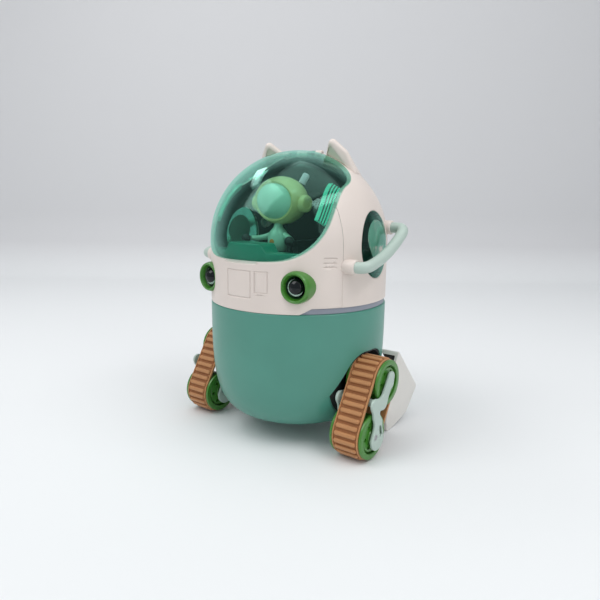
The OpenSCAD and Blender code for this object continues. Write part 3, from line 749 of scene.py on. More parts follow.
def frame_groove(low, high):
    corners = [(low[0], low[1]), (high[0], low[1]), (high[0], high[1]), (low[0], high[1])]
    steps = 12
    pairs = []
    for (ax, az), (bx, bz) in zip(corners, corners[1:] + corners[:1]):
        for i in range(steps):
            x, z = ax + (bx - ax) * i / steps, az + (bz - az) * i / steps
            inner_x = min(max(x, low[0] + GROOVE_W), high[0] - GROOVE_W)
            inner_z = min(max(z, low[1] + GROOVE_W), high[1] - GROOVE_W)
            pairs.append(((x, z), (inner_x, inner_z)))
    return groove(pairs)


def line_groove(start, end, z):
    steps = 12
    places = [start + (end - start) * i / steps for i in range(steps + 1)]
    return groove([((x, z), (x, z + GROOVE_W)) for x in places], closed=False)


def vent_lines(side):
    """Cutters for the three short lines beside the eye."""
    middle, half, height, depth, steps = 55.5, 4.2, 0.28, 0.25, 5
    section = ((BODY_R + PROUD, 0), (BODY_R + PROUD, height), (BODY_R - depth, height), (BODY_R - depth, 0))
    parts = []
    for z in (94.6, 96.6, 98.8):
        rings = []
        for i in range(2 * steps + 1):
            turn = radians((middle - half + half * i / steps) * side)
            s, c = sin(turn), -cos(turn)
            rings.append([Vector((r * s, r * c, z + h)) for r, h in section])
        parts.append(loft(rings))
    return joined(*parts)


def finger_notch():
    """Cutter for the shallow scoop under the canopy's front edge."""
    half, low, high, depth, steps = 10.5, 95.5, 98.8, 0.9, 24
    slope, least, sill, sill_share = 2.2, 0.02, 0.5, 0.4
    rings = []
    for i in range(steps + 1):
        x = -half + 2 * half * i / steps
        deep = depth * min(1, slope * sqrt(max(0.0, 1 - abs(x) / half)) + least)
        rings.append([on_face(x, low, BODY_R + PROUD), on_face(x, high, BODY_R + PROUD),
                      on_face(x, high, BODY_R - deep), on_face(x, low + sill, BODY_R - deep),
                      on_face(x, low, BODY_R - deep * sill_share)])
    return loft(rings)


WINDOW_Y, WINDOW_Z = 2.4, 104.2
WINDOW_HALF = Vector((13.2, 16.8))


def window_oval(radius, grow, share=1.0):
    """The window's oval on the skin of a given radius, grown all round, then scaled to a share."""
    ring = []
    for c, s in circle(1, 96):
        y = WINDOW_Y + (WINDOW_HALF.x + grow) * share * c
        z = WINDOW_Z + (WINDOW_HALF.y + grow) * share * s
        ring.append((surface_x(y, z, radius), y, z))
    return ring


# The handle: a front leg, a bend, a bowed grip, another bend and a rear leg.
LEG_Y, LEG_Z, ELBOW_R, GRIP_X, BOW_R, TUBE_R = -19.0, 94.7, 4, 53.8, 72, 2.8
LOW_TILT, HIGH_TILT = radians(10), radians(38)
GRIP_START = Vector((LEG_Y, LEG_Z)) + ELBOW_R * Vector((cos(LOW_TILT), sin(LOW_TILT)))
BOW_CENTRE = GRIP_START - BOW_R * Vector((sin(LOW_TILT), -cos(LOW_TILT)))
GRIP_END = BOW_CENTRE + BOW_R * Vector((sin(HIGH_TILT), -cos(HIGH_TILT)))
REAR_LEG = GRIP_END + ELBOW_R * Vector((cos(HIGH_TILT), sin(HIGH_TILT)))
# Y and Z of each leg, with the X where its collar ends.
BOSSES = ((LEG_Y, LEG_Z, 49), (REAR_LEG.x, REAR_LEG.y, 46.5))


def leg_holes():
    """Bars through the left wall, a little thicker than the handle's legs."""
    inside_x, outside_x, room = 38, 60, 0.6
    return joined(*(x_bar(inside_x, outside_x, y, z, TUBE_R + room) for y, z, _ in BOSSES))


def paint_inside(obj, depth=0.6):
    """The inner faces of an upper shell take a dark teal: painted shade inside the cockpit."""
    obj.data.materials.append(MATERIALS["cockpit_painted_shade"])
    for face in obj.data.polygons:
        x, y, z = face.center / MM
        y -= BODY_Y
        distance = sqrt(x * x + y * y + max(0.0, z - DOME_Z) ** 2)
        face.material_index = 1 if distance < INNER_R + depth else 0


def belly_profile():
    """Half of the lower shell's section: a superellipse outside and inside, and a rounded rim."""
    steps, power, top, lip, gap, rim_gap = 44, 5.2, 89.4, 0.8, 0.3, 0.2
    outer, inner = [], []
    for i in range(steps + 1):
        share = i / steps
        turn = radians(90 * share * share * (3 - 2 * share))
        across, up = max(0.0, cos(turn)) ** (2 / power), sin(turn) ** (2 / power)
        if share == 1:
            across = 0
        outer.append((BODY_R * across, top - (top - BELLY_Z) * up))
        inner.append((INNER_R * across, top - (top - BELLY_Z - WALL) * up))
    outer = [p for p in outer if p[1] < SEAM_Z - lip - gap][::-1]
    inner = [p for p in inner if p[1] < SEAM_Z - gap]
    fillet = [(BODY_R - lip + c, SEAM_Z - lip + s) for c, s in circle(lip, 6, 0, 90)]
    return outer + [(BODY_R, SEAM_Z - lip - rim_gap)] + fillet + [(INNER_R, SEAM_Z)] + inner


def well_outline():
    """Wheel well in the side view."""
    radius, back_hub = 13.9, Vector((1.5, 36.4))
    points = [back_hub + Vector(v) for v in circle(radius, 24, 0, 90)]
    points += [TOP_HUB + Vector(v) for v in circle(radius, 16, 90, 60)]
    return points + [LOW_HUB + radius * Vector((-0.865, 0.503)), Vector((-44, -10)), Vector((28, -10))]


def build_lower_shell():
    """The section is open at the axis, so the faces that would join its two ends are left out."""
    profile = belly_profile()
    points, faces = loft([[(r * c, r * s, h) for r, h in profile] for c, s in circle(1, 144)], loop=True)
    faces = [face for k, face in enumerate(faces) if (k + 1) % len(profile)]
    inside_x, outside_x = 38.4, 60
    well = x_prism(well_outline(), inside_x, outside_x)
    battery_door = y_block(17, -12, 12, 0, 12)
    piece("teal_lower_body", (points, faces), "teal_plastic", ["lower_shell"],
          holes=[well, mirrored(well), battery_door])


def build_upper_half(name, part, node, holes):
    """A cream upper shell: edges rounded, holes cut, and its inside painted."""
    shell = make(name, part, "cream_plastic")
    round_edges(shell, 0.35)
    apply_modifiers(shell)
    legs = leg_holes()
    cut(shell, *(cutter(hole) for hole in [legs, mirrored(legs)] + holes))
    smooth(shell, 30)
    paint_inside(shell)
    finished(shell, nodes=[node])


def build_fascia():
    turns = (spaced(-SPLIT_TURN, -CHIN_END, 1.6) + spaced(-CHIN_END, -CHIN_START, 1.2)
             + spaced(-CHIN_START, CHIN_START, 1.8) + spaced(CHIN_START, CHIN_END, 1.2)
             + spaced(CHIN_END, SPLIT_TURN, 1.6) + [SPLIT_TURN])
    holes = []
    for side in (LEFT, RIGHT):
        holes += [moved(disc(6.8, -12, 8, 64), eye_place(side)), vent_lines(side)]
    panels = joined(frame_groove((-8.3, 78.8), (6.8, 92.2)), frame_groove((8.9, 81.8), (15.8, 92.2)),
                    line_groove(9.8, 14.6, 80.6))
    shell = upper_shell(turns, 30, lambda turn: turn * INNER_SPLIT_TURN / SPLIT_TURN)
    build_upper_half("cream_front_fascia", shell, "front_fascia", holes + [panels, finger_notch()])


def build_rear_shell():
    half = (spaced(SPLIT_TURN, 90, 1.9) + spaced(90, 100, 0.8) + spaced(100, 120, 1.6)
            + spaced(120, 180, 2.4))
    turns = half + [180] + [360 - turn for turn in half[::-1]]

    def inner_turn(turn):
        near = min(turn, 360 - turn)
        near = INNER_SPLIT_TURN + (near - SPLIT_TURN) * (180 - INNER_SPLIT_TURN) / (180 - SPLIT_TURN)
        return near if turn <= 180 else 360 - near

    levels = ((BODY_R + 1.2, 0.9), (BODY_R + 0.02, 0.45), (BODY_R - 0.2, 0.18), (BODY_R - 0.6, 0),
              (INNER_R - 3, 0))
    window = loft([window_oval(radius, grow) for radius, grow in levels])
    hinge_notch = y_block(12.5, -5, 5.2, 147.1, 170)
    build_upper_half("cream_rear_shell", upper_shell(turns, 64, inner_turn), "rear_shell",
                     [window, mirrored(window), hinge_notch])


def build_sockets():
    """Cream collars round the handle's legs, where they enter the body."""
    boss_r, lip, start, bore = 3.7, 0.9, 41, TUBE_R + 0.03
    for word, side in SIDES.items():
        for where, (y, z, end) in zip(("front", "rear"), BOSSES):
            rim = [(boss_r - lip + c, end - lip + s) for c, s in circle(lip, 6, 0, 90)]
            profile = [(bore, start), (boss_r, start)] + rim + [(bore, end)]
            collar = revolve(profile, 64, "X", (0, y, z))
            piece(f"handle_collar_{where}_{word}", collar, "cream_plastic", side=side)


def onto_skin(point, radius):
    """The nearest point on the cylinder and dome of a given radius."""
    centre = Vector((0, 0, min(point.z, DOME_Z)))
    return centre + (point - centre).normalized() * radius


def canopy_row(spot, ahead, radius):
    """Points over the canopy from one side's edge to the other's, through a spot in the side view."""
    start = Vector((0, spot.x, spot.y))
    line = []
    for i in range(181):
        turn = radians(i - 90)
        step = Vector((sin(turn), ahead.x * cos(turn), ahead.y * cos(turn)))

        def inside(length):
            x, y, z = start + step * length
            return x * x + y * y + max(0.0, z - DOME_Z) ** 2 < radius ** 2

        line.append(start + step * halved(0.0, 2 * BODY_R, inside, 30))
    return [onto_skin(point, radius) for point in evenly(line, 81)]


def build_canopy():
    rows = evenly(EDGE, 84)
    rings = []
    for spot in rows:
        away = spot - PIVOT
        ahead = away.normalized() if away.length > 1e-6 else Vector((-1, 0))
        if spot == rows[-1]:
            ahead = Vector((0, 1))
        rings.append(canopy_row(spot, ahead, BODY_R) + canopy_row(spot, ahead, BODY_R - CANOPY_T)[::-1])
    rounded_piece("clear_green_canopy", loft(rings), "clear_green_plastic", 0.45, ["canopy"], "canopy",
                  segments=4)


HINGE_Y, HINGE_Z, KNUCKLE_R, PIN_HOLE_R = 3.3, 150.0, 1.6, 0.78


def knuckle(low, high):
    lip = 0.25
    profile = [(PIN_HOLE_R, low), (KNUCKLE_R - lip, low), (KNUCKLE_R, low + lip), (KNUCKLE_R, high - lip),
               (KNUCKLE_R - lip, high), (PIN_HOLE_R, high)]
    return revolve(profile, 40, "X", (0, HINGE_Y, HINGE_Z))


def web(low, high, y_low, y_high, z_high):
    fillet, z_low = 0.3, HINGE_Z - KNUCKLE_R
    corners = [(y_low, z_low, fillet), (y_high, z_low, fillet), (y_high, z_high, fillet),
               (y_low, z_high, fillet)]
    return slab(rounded(corners, 3), low, high, 0.2, 2)


def build_hinge():
    overlap = 0.9
    lug = joined(knuckle(4.2, 8.2), web(4.2, 8.2, 0.4, HINGE_Y - overlap, HINGE_Z + KNUCKLE_R - 0.5))
    piece("canopy_hinge_lugs", joined(lug, mirrored(lug)), "clear_green_plastic", body="canopy")
    middle = [knuckle(-4, 4), web(-4, 4, HINGE_Y + overlap, 6, HINGE_Z)]
    outer = joined(knuckle(8.4, 12.4), web(8.4, 12.4, HINGE_Y + overlap, 6, HINGE_Z))
    piece("body_hinge_knuckles", joined(*middle, outer, mirrored(outer)), "cream_plastic")


def build_windows():
    steps, least, edge_gap = 14, 0.02, 0.1
    shares = [max(least, k / steps) for k in range(steps + 1)]
    outside = [window_oval(BODY_R, -edge_gap, share) for share in shares]
    inside = [window_oval(INNER_R + 0.2, -edge_gap, share) for share in shares]
    for word, side in SIDES.items():
        rounded_piece(f"green_side_window_{word}", loft(outside + inside[::-1]), "window_green", 0.3,
                      [f"side_window_{word}"], side=side)


def build_band():
    """The band in view stops at the chin; the collar inside it goes all the way round."""
    start_low, start_high, steps = 37.98, 45.2, 150
    section = ((44.9, SEAM_Z + 0.02), (47.0, SEAM_Z + 0.02), (47.2, SEAM_Z + 0.2),
               (47.2, BAND_TOP - 0.2), (47.0, BAND_TOP - 0.02), (44.9, BAND_TOP - 0.02))
    rings = []
    for i in range(steps + 1):
        ring = []
        for r, z in section:
            begin = start_low + (start_high - start_low) * (z - SEAM_Z) / (BAND_TOP - SEAM_Z)
            turn = radians(begin + (360 - 2 * begin) * (i / steps))
            ring.append((r * sin(turn), -r * cos(turn), z))
        rings.append(ring)
    collar = [(43.9, SEAM_Z - 4), (45.5, SEAM_Z - 4), (45.7, SEAM_Z - 3.8), (45.7, SEAM_Z + 4.8),
              (45.5, SEAM_Z + 5), (43.9, SEAM_Z + 5)]
    piece("grey_waist_band", joined(loft(rings), revolve(collar, 144)), "band_plastic", ["waist_band"])


# ---------- ears, eyes and handles ----------

# Centre and radius of the ball at each corner of an ear, the tip first.
EAR_SPOTS = [((21.2, -0.2, 154.4), 2.3), ((14, 6.8, 147.6), 1.8), ((26.6, 2.8, 149.5), 1.9),
             ((30, 6.2, 140.2), 2), ((17.5, 20, 142), 3), ((25.8, 16, 137.6), 3)]


def ear_hull():
    """The hull of a ball at each of the ear's corners."""
    work = bmesh.new()
    for at, radius in EAR_SPOTS:
        for round_r, height in circle(1, 18, -90, 180):
            for c, s in circle(1, 36):
                work.verts.new(Vector(at) + radius * Vector((round_r * c, round_r * s, height)))
    hull = bmesh.ops.convex_hull(work, input=work.verts)
    bmesh.ops.delete(work, geom=list(set(hull["geom_interior"] + hull["geom_unused"])), context="VERTS")
    work.verts.index_update()
    part = ([v.co.copy() for v in work.verts], [[v.index for v in f.verts] for f in work.faces])
    work.free()
    return part


def ear_layer(start, end, shrink=0.0):
    """A layer of the pocket in the ear's front face, between two heights over the tip's centre."""
    corner_r, margin = 1.3, 0.6
    face_turn, face_lean = -21.1, 33.8
    corners = [(0, 0, corner_r), (-9.2, -7.9, corner_r), (5.9, -16.8, corner_r)]
    outline = inset(rounded(corners), shrink - margin)
    rings = [[(point.x, -height, point.y) for point in outline] for height in (start, end)]
    tip = Matrix.Translation(EAR_SPOTS[0][0])
    return moved(loft(rings), tip @ (turned(face_turn, "Z") @ turned(face_lean, "X")))


def soften(obj, voxel, rounds):
    """Rounds all the edges of a closed mesh by remeshing it evenly and smoothing that."""
    even = obj.modifiers.new("even", "REMESH")
    even.mode = "VOXEL"
    even.voxel_size = voxel * MM
    obj.modifiers.new("soften", "SMOOTH").iterations = rounds
    apply_modifiers(obj)


def build_ears():
    arc = [(BODY_R * cos(radians(a)), DOME_Z + BODY_R * sin(radians(a))) for a in range(10, 90, 2)]
    dome = revolve(arc + [(0.3, DOME_Z + BODY_R), (0.3, DOME_Z)], 144)
    for word, side in SIDES.items():
        ear = make(f"cream_ear_{word}", ear_hull(), "cream_plastic", side)
        soften(ear, 0.3, 6)
        cut(ear, cutter(dome), cutter(ear_layer(1.3, 9), side))
        smooth(ear, 40)
        finished(ear, nodes=[f"ear_{word}"])
        lining = make(f"ear_pocket_lining_{word}", ear_layer(1.2, 1.75, 0.04), "ear_lining", side)
        cut(lining, cutter(dome))
        smooth(lining, 40)
        finished(lining, nodes=[f"inner_ear_{word}"])


def lens_profile():
    """A thin cap of a ball on a short cylinder."""
    cap_r, cap_z, lens_r, back, steps = 4.88, -1.6, 4.63, -5, 40
    rim = degrees(acos(lens_r / cap_r))
    return [(0, back), (lens_r, back)] + [(r, cap_z + h) for r, h in circle(cap_r, steps, rim, 90 - rim)]


def eye_pieces(word):
    """Name, profile about the eye's axis, material and CAD nodes of each piece of an eye."""
    bezel = [(5.5, -8.9), (6.7, -8.9), (6.7, -7.5), (7.9, -7.5), (7.9, 0.6), (7.82, 1.1), (7.5, 2.2),
             (7.3, 2.65), (7.05, 2.95), (6.75, 3.0), (6.45, 2.97), (6.25, 2.8), (5.5, 0.75)]
    # The inner slope's near-black colour is painted shade in the eye's recess.
    slope = [(4.68, -8.9), (5.48, -8.9), (5.48, 0.7), (5.2, 0.3), (4.72, -0.3)]
    return (("eye_ring", bezel, "leaf_green_plastic", [f"eye_bezel_{word}"]),
            ("eye_inner_slope", slope, "eye_ring", []),
            ("polished_eye", lens_profile(), "eye_lens", [f"eye_lens_{word}"]))


def build_eyes():
    for word, side in SIDES.items():
        for label, profile, material, nodes in eye_pieces(word):
            obj = make(f"{label}_{word}", moved(revolve(profile), eye_place()), material, side)
            if label == "eye_ring":
                trim_to_face(obj, side)
            smooth(obj, 28)
            if label == "polished_eye":
                paint_reflection_crescent(obj, side)
            finished(obj, nodes=nodes)


def trim_to_face(ring, side):
    """Takes away what is inside the body's skin, apart from the plug in the eye's hole."""
    body = cutter(disc(BODY_R - 0.02, 70, 101, 144))
    cut(body, cutter(moved(disc(6.74, -14, 9, 96), eye_place(side))))
    cut(ring, body)


def paint_reflection_crescent(lens, side):
    """A painted reflection: a light crescent low on the lens, towards the robot's right on both eyes."""
    outer_r, inner_r, shift = 4.15, 3.75, 1.0
    onto_axis = eye_place(side).inverted()
    toward = (onto_axis.to_3x3() @ Vector((-0.8, -0.6, -0.7))).to_2d().normalized()
    lens.data.materials.append(MATERIALS["eye_glint"])
    for face in lens.data.polygons:
        spot = onto_axis @ (face.center / MM - Vector((0, BODY_Y, 0)))
        flat = spot.to_2d()
        if spot.z > 0 and flat.length < outer_r and (flat + toward * shift).length > inner_r:
            face.material_index = 1


def elbow(at, tilt, start, end):
    """A quarter bend of the handle, in the plane that its leg and grip share."""
    return [Vector((GRIP_X - ELBOW_R + inward, at.x + out * cos(tilt), at.y + out * sin(tilt)))
            for inward, out in circle(ELBOW_R, 10, start, end - start)]


def build_handles():
    socket_x, neck_x, rear_neck_x, bow_steps = 42.5, 45.5, 46, 20
    path = [Vector((x, LEG_Y, LEG_Z)) for x in (socket_x, neck_x)]
    path += elbow(GRIP_START, LOW_TILT, -90, 0)
    for i in range(1, bow_steps):
        turn = LOW_TILT + (HIGH_TILT - LOW_TILT) * i / bow_steps
        path.append(Vector((GRIP_X, BOW_CENTRE.x + BOW_R * sin(turn), BOW_CENTRE.y - BOW_R * cos(turn))))
    path += elbow(GRIP_END, HIGH_TILT, 0, 90)
    path += [Vector((x, *REAR_LEG)) for x in (rear_neck_x, socket_x)]
    pair("mint_grab_handle", tube(path, [TUBE_R] * len(path), 40), "mint_plastic", "handle", angle=50)


# ---------- tracks ----------

BELT_R, BELT_INNER_R = 11.9, 10.5
RIB_COUNT, RIB_H = 34, 0.6


def belt_spot(distance):
    """Centre and outward direction of the belt at a distance along it."""
    run = TOP_HUB - LOW_HUB
    tilt = atan2(run.y, run.x)
    bend = pi * BELT_R
    ahead = Vector((cos(tilt), sin(tilt)))
    if distance < run.length:
        centre, turn = LOW_HUB + ahead * distance, tilt + pi / 2
    elif distance < run.length + bend:
        centre, turn = TOP_HUB, tilt + pi / 2 - (distance - run.length) / BELT_R
    elif distance < 2 * run.length + bend:
        centre, turn = TOP_HUB - ahead * (distance - run.length - bend), tilt - pi / 2
    else:
        centre, turn = LOW_HUB, tilt - pi / 2 - (distance - 2 * run.length - bend) / BELT_R
    return centre, Vector((cos(turn), sin(turn)))


def rib_height(along, across, half):
    """Height of the belt's skin near a rib: a raised bar with round ends in a shallow channel."""
    rib_half, margin, dip, crown_w, foot_dip = 1.12, 1.25, 0.7, 0.5, 0.12
    rim_w, rim_slope, channel_slope = 0.75, 0.5, 0.22
    away = hypot(max(0.0, abs(across) - (half - margin - rib_half)), along) - rib_half
    if away < 0:
        rise = min(1, -away / crown_w)
        return RIB_H * sqrt(1 - (1 - rise) ** 2) - foot_dip * (1 - rise)
    edge = min(1, max(0.0, (half - rim_w - abs(across)) / rim_slope))
    return -dip * edge * min(1, away / channel_slope)


BELT_HALF, BELT_MIDDLE = (BELT_OUT - BELT_IN) / 2, (BELT_OUT + BELT_IN) / 2
BELT_LOOP = 2 * (TOP_HUB - LOW_HUB).length + 2 * pi * BELT_R
PITCH = BELT_LOOP / RIB_COUNT
RIB_STEPS = [0.25, 0.6, 0.84, 1.0, 1.12, 1.26, 1.42]
OFFSETS = [-PITCH / 2] + [-step for step in RIB_STEPS[::-1]] + RIB_STEPS
EDGE_STEPS = [BELT_HALF * share for share in (1, 0.985, 0.96, 0.93, 0.91, 0.89, 0.87, 0.85, 0.83, 0.805, 0.78,
                                              0.755, 0.73, 0.70, 0.66, 0.55, 0.38, 0.19)]
ACROSS = [-x for x in EDGE_STEPS] + [0.0] + EDGE_STEPS[::-1]


def belt_ring(distance, offset):
    """The belt's section at a distance along it: its ribbed skin, then its plain inside."""
    rim_r = 0.45
    centre, out = belt_spot(distance)
    ring = []
    for x in ACROSS:
        fall = max(0.0, abs(x) - BELT_HALF + rim_r) / rim_r
        drop = rim_r * (1 - sqrt(max(0.0, 1 - fall * fall)))
        height = BELT_R + rib_height(offset, x, BELT_HALF) - drop
        ring.append((BELT_MIDDLE + x, *(centre + out * height)))
    inner = [BELT_HALF - 0.2, BELT_HALF - 0.5, BELT_HALF * 0.5]
    for x in inner + [0] + [-x for x in inner[::-1]]:
        ring.append((BELT_MIDDLE + x, *(centre + out * BELT_INNER_R)))
    return ring


def paint_belt(belt, faces_round):
    """The bottoms of the channels between the ribs are darker: painted shade."""
    groove_depth = 0.12
    ahead = OFFSETS[1:] + [OFFSETS[0] + PITCH]
    belt.data.materials.append(MATERIALS["belt_groove_painted_shade"])
    for index, face in enumerate(belt.data.polygons[:RIB_COUNT * len(OFFSETS) * faces_round]):
        ring, spot = divmod(index, faces_round)
        if spot + 1 < len(ACROSS):
            step = ring % len(OFFSETS)
            along, across = (OFFSETS[step] + ahead[step]) / 2, (ACROSS[spot] + ACROSS[spot + 1]) / 2
            face.material_index = int(rib_height(along, across, BELT_HALF) < -groove_depth)


def build_belts():
    rings = [belt_ring((rib * PITCH + offset) % BELT_LOOP, offset)
             for rib in range(RIB_COUNT) for offset in OFFSETS]
    for belt in pair("tan_ribbed_belt", loft(rings, loop=True), "belt_rubber", "track_belt", angle=60):
        paint_belt(belt, len(rings[0]))


def wheel_part(centre):
    """A wheel about X: two rim rings, a dark gap and a hub disc on each face."""
    flange_r, drum_r, gap_out, gap_in = 11.55, 10.4, 8.7, 7.9
    face = [(1.52, -0.55), (2.6, -0.55), (2.9, -0.25), (3.1, -0.25), (3.4, -0.7), (gap_in - 0.3, -0.7),
            (gap_in, -1.0), (gap_in, -2.2), (gap_out, -2.2), (gap_out, -0.35), (gap_out + 0.3, -0.05),
            (flange_r - 0.5, 0), (flange_r - 0.12, -0.15), (flange_r, -0.5), (flange_r, -1.2),
            (flange_r - 0.2, -1.45), (drum_r, -1.5)]
    out = [(r, WHEEL_OUT + depth) for r, depth in face]
    back = [(r, WHEEL_IN - depth) for r, depth in face[::-1]]
    return revolve(out + back, 120, "X", (0, *centre))


def wheel_holes(centre):
    """Six blind holes round the hub on each face."""
    ring_r, hole_r, depth, proud = 5.9, 0.95, 2.4, 1
    outer = [x_bar(WHEEL_OUT - depth, WHEEL_OUT + proud, centre.x + c, centre.y + s, hole_r, 20)
             for c, s in circle(ring_r, 6)]
    to_inner_face = Matrix.Translation((WHEEL_IN - WHEEL_OUT + depth - proud, 0, 0))
    return joined(*outer, *(moved(hole, to_inner_face) for hole in outer))


def build_wheels():
    for word, side in SIDES.items():
        for label, centre, kind in (("upper", TOP_HUB, "drive"), ("lower", LOW_HUB, "idler")):
            piece(f"green_track_wheel_{label}_{word}", wheel_part(centre), "leaf_green_plastic",
                  [f"{label}_wheel_{word}"], f"{kind}_wheel_{word}", side, 30, [wheel_holes(centre)])


def strip_distance(spot, start, start_r, end, end_r):
    """Distance outside a strip that has a round end of its own size about each of two points."""
    along = end - start
    share = min(1, max(0, (spot - start).dot(along) / along.length_squared))
    return (spot - start - along * share).length - (start_r + (end_r - start_r) * share)


def blend_distance(a, b, soft):
    """The smaller of two distances, with a fillet where they meet."""
    share = max(0.0, soft - abs(a - b)) / soft
    return min(a, b) - share * share * soft / 4


def plate_field(spot):
    """Distance outside the S-shaped side plate, made of strips with round ends."""
    top, bend, hook = Vector((-4.3, 39.5)), Vector((-11.8, 28.2)), Vector((-20, 29.2))
    elbow_at, neck, drop = Vector((-17.9, 22.8)), Vector((-16.0, 18.6)), Vector((-16.5, 11.2))
    upper = blend_distance(strip_distance(spot, top, 2.7, bend, 3.2),
                           strip_distance(spot, top, 2.7, TOP_HUB, 2.7), 1)
    upper = blend_distance(upper, strip_distance(spot, bend, 3.2, hook, 2.5), 2)
    lower = blend_distance(strip_distance(spot, hook, 2.4, elbow_at, 2.4),
                           strip_distance(spot, elbow_at, 2.4, neck, 3.1), 2)
    lower = blend_distance(lower, strip_distance(spot, neck, 3.1, drop, 6.1), 2)
    return max(blend_distance(upper, lower, 2.5), window_field(spot))


def window_field(spot):
    """Above zero inside the window between the hook and the lower hub."""
    corners = [Vector((-15.2, 17.8)), Vector((-13.3, 16.6)), Vector((-12.0, 12.4)), Vector((-14.4, 11.4))]
    return min((spot - a).cross((b - a).normalized()) for a, b in zip(corners, corners[1:] + corners[:1]))


def build_plates():
    """The longest line round the field is the plate's edge, and the next one is its window."""
    *_, window, edge = sorted(contours(plate_field, (-27, 4), (3, 46), 0.3), key=len)
    for word, side in SIDES.items():
        for label, (low, high) in (("outer", OUTER_PLATE), ("inner", INNER_PLATE)):
            piece(f"mint_{label}_side_plate_{word}", slab(edge, low, high, 0.45, 4, [window]),
                  "mint_plastic", [f"{label}_track_plate_{word}"], side=side, angle=40)


def build_feet():
    corners = [(27.1, 44, 1.0), (52, 17.5, 2.4), (39.6, 4.3, 2.4), (21.4, 0, 2), (16.6, 0, 1.3),
               (15.2, 6.7, 1.3), (21.6, 32.6, 1.3)]
    hollow = [(27.6, 41.2, 0.5), (49.4, 17.6, 1.6), (38.8, 6.1, 1.2), (17.8, 2, 0.8), (6, 2, 0), (6, 41.2, 0)]
    # The faces of each foot's hollow take painted shade.
    pair("cream_rear_foot", slab(rounded(corners, 8), 39, 50, 0.6, 5), "white_plastic", "rear_foot",
         angle=30, holes=[x_prism(rounded(hollow), 30, 48.2)], inside="foot_hollow_painted_shade")


# ---------- cockpit ----------

def build_dashboard():
    low, face_y, lip, half, front_r, steps = 96.2, -33.0, 0.9, 31.0, 45.3, 72
    flat_top, hump_h, hump_half, hump_slope, hump_x = 100.9, 4.2, 13.4, 3.6, -0.3
    rings = []
    for i in range(steps + 1):
        x = -half + 2 * half * i / steps
        front = -sqrt(front_r ** 2 - x * x)
        hump = min(1, max(0.0, (hump_half - abs(x - hump_x)) / hump_slope))
        top = flat_top + hump_h * hump * hump * (3 - 2 * hump)
        ring = [(x, face_y, low), (x, face_y, top - lip)]
        ring += [(x, face_y - lip + c, top - lip + s) for c, s in circle(lip, 5, 0, 90)]
        front_lip = min(front + lip, face_y - lip - 0.01)
        ring += [(x, front_lip + c, top - lip + s) for c, s in circle(lip, 5, 90, 90)]
        rings.append(ring + [(x, min(front, face_y - 2 * lip), low)])
    piece("green_dashboard", loft(rings), "dashboard_plastic", ["dashboard"], angle=40)


def build_lips():
    """A strip of ribs inside the shell on each side, along part of the canopy's edge. The deep faces between
    the ribs take the cockpit's painted shade.
    """
    forward = Vector((-0.73, 0.68))
    rib_step, rib_count, rib_parts, rib_start, start = 1.05, 3, 8, -0.4, -1.6
    depth, inner_share, shade_from = 0.55, 0.4, 0.7
    profile = [(start, 0.0)]
    for k in range(rib_count * rib_parts + 1):
        dip = depth * (0.5 - 0.5 * cos(2 * pi * k / rib_parts))
        profile.append((rib_start + k * rib_step / rib_parts, dip))
    skins = ((INNER_R - 0.12, -1, profile), (INNER_R - 1.75, inner_share, profile[::-1]))
    rings = []
    for spot in evenly(EDGE[26:43], 40):
        ring = []
        for radius, share, points in skins:
            for d, dip in points:
                y, z = spot + forward * d
                ring.append((surface_x(y, z, radius + share * dip), y, z))
        rings.append(ring)
    for lip in pair("turquoise_ribbed_lip", loft(rings), "grille_plastic", "wall_grille", angle=50):
        lip.data.materials.append(MATERIALS["cockpit_painted_shade"])
        for index, face in enumerate(lip.data.polygons[:(len(rings) - 1) * len(rings[0])]):
            spot = index % len(rings[0])
            if spot + 1 < len(profile):
                face.material_index = int(profile[spot][1] + profile[spot + 1][1] > shade_from)


HEAD = Vector((0, -15.5, 125.4))
HELMET_R = (15.0, 12.4, 12.4)


def helmet_ring(share, shrink, steps=72):
    """A ring round the helmet, from its opening to the back of the head, on a smaller ball if asked."""
    narrow, taller, below, back = 52, 3, 4, 178
    ring = []
    for c, s in circle(1, steps):
        opening = narrow + taller * c ** 2 + (below if s < 0 else 0) * s ** 2
        turn = radians(opening + (back - opening) * share)
        unit = (sin(turn) * c, -cos(turn), sin(turn) * s)
        ring.append(HEAD + Vector([unit[j] * (HELMET_R[j] - shrink) for j in range(3)]))
    return ring


def build_helmet():
    """The helmet is open in front, and the plain visor is the front half of a ball inside it."""
    thick, rows, visor_gap, front_reach = 1.9, 30, 1.2, 30
    outer = [helmet_ring(i / rows, 0) for i in range(rows + 1)]
    inner = [helmet_ring(i / rows, thick) for i in range(rows + 1)]
    rounded_piece("yellow_green_helmet", loft(inner[::-1] + outer), "pilot_helmet", 0.5,
                  ["pilot_helmet"], "pilot_head")
    visor = make("plain_mint_visor", ellipsoid(HEAD, [r - visor_gap for r in HELMET_R], 64), "pilot_suit")
    front = y_block(front_reach, HEAD.y + 1, HEAD.y - 39, HEAD.z - front_reach, HEAD.z + front_reach)
    cut(visor, cutter(front), operation="INTERSECT")
    smooth(visor, 40)
    finished(visor, "pilot_head", ["pilot_visor"])


def build_head_fittings():
    """The round discs over the ears, and the short antenna."""
    profile = [(0, 12), (4.4, 12), (4.4, 16.4), (4.1, 17.0), (3.6, 17.3), (2.4, 17.3), (2.2, 17.0), (0, 17.0)]
    ear_disc = revolve(profile, 48, "X", (0, HEAD.y, HEAD.z - 1.4))
    piece("helmet_ear_discs", joined(ear_disc, mirrored(ear_disc)), "pilot_helmet", body="pilot_head")
    mast = Matrix.Translation((9, HEAD.y + 4, HEAD.z + 7)) @ turned(-18, "X") @ turned(22, "Y")
    rod = [(0, 2), (1.9, 2), (1.9, 6.6), (1.5, 7.3), (0.8, 7.6), (0, 7.65)]
    piece("helmet_antenna", moved(revolve(rod, 32), mast), "pilot_antenna", body="pilot_head", angle=50)


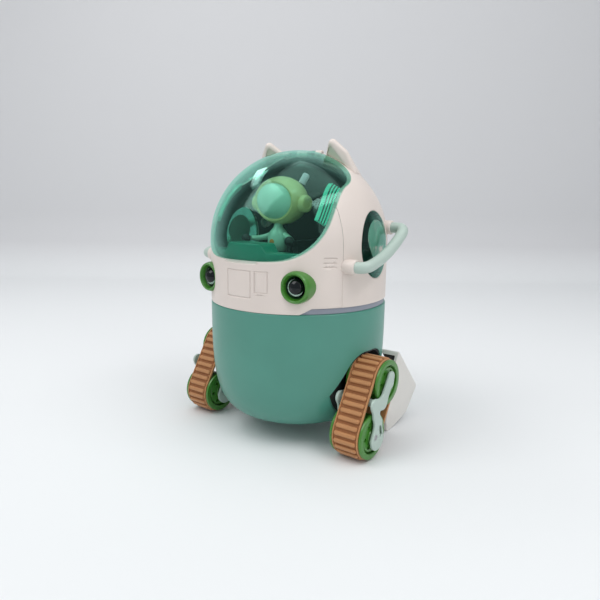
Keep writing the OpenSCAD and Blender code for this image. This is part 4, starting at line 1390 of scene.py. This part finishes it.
def build_pilot_body():
    low, neck_z, y = 99.2, HEAD.z - 7.6, HEAD.y - 2.5
    profile = [(0, low), (4.8, low), (5.4, low + 0.7), (5.6, low + 4), (5.3, low + 8), (4.2, low + 10.6),
               (2.6, low + 12.4), (2.0, low + 14), (2.0, neck_z), (0, neck_z)]
    torso = revolve(profile, 64, at=(HEAD.x, y, 0))
    piece("mint_pilot_body", torso, "pilot_suit", ["pilot_torso"], angle=50)
    badge = moved(ellipsoid((0, 0, 0), (1.6, 0.7, 1.6), 32), Matrix.Translation((0, y - 5.1, low + 5.2)))
    piece("round_chest_badge", badge, "pilot_badge", angle=60)
    path = [Vector((4.2, y, low + 8.6)), Vector((8.2, y - 0.5, low + 6.6)),
            Vector((11.2, y - 2.5, low + 6.2)), Vector((13.4, y - 6.2, low + 6.6))]
    arm_r, taper, count = 1.8, 0.03, 16
    spine = evenly([path[0]] + cubic(*path, 20), count)
    arm = tube(spine, [arm_r - taper * i for i in range(count)], 24)
    pair("pilot_arm", arm, "pilot_suit", angle=50)


# ---------- CAD pieces that stay ----------

KEPT = {
    # The cockpit floor is coloured dark teal as painted shade.
    "cockpit_painted_shade": ["cockpit_floor"],
    # The black well liners are painted shade: a black sheet inside each wheel well.
    "black_plastic": ["seat", "control_stick_left", "control_stick_right", "chassis_deck", "well_liner_left",
                      "well_liner_right", "motor_bracket_left", "motor_bracket_right"],
    "steel": ["canopy_hinge_pin", "drive_shaft_left", "drive_shaft_right", "lower_axle_left",
              "lower_axle_right", "battery_door_screws"],
    "mint_plastic": ["track_strut_left", "track_strut_right"],
    "motor_can": ["gear_motor_left", "gear_motor_right"],
    "battery_wrap": ["battery_pack"],
    "circuit_board": ["control_board"],
    "teal_plastic": ["battery_door"],
}


def dress_kept_nodes():
    for material, names in KEPT.items():
        for name in names:
            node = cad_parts[name]
            if not node.material_slots:
                node.data.materials.append(None)
            for place in node.material_slots:
                place.link = "OBJECT"
                place.material = MATERIALS[material]
            add_bevel(node, 0.25, 2, 40, "MITER_SHARP")


add_camera()
add_world()
add_stage()
for light_name, settings in LIGHTS.items():
    add_light(light_name, *settings)

build_lower_shell()
build_fascia()
build_rear_shell()
build_sockets()
build_canopy()
build_hinge()
build_windows()
build_band()
build_ears()
build_eyes()
build_handles()
build_belts()
build_wheels()
build_plates()
build_feet()
build_dashboard()
build_lips()
build_helmet()
build_head_fittings()
build_pilot_body()
dress_kept_nodes()
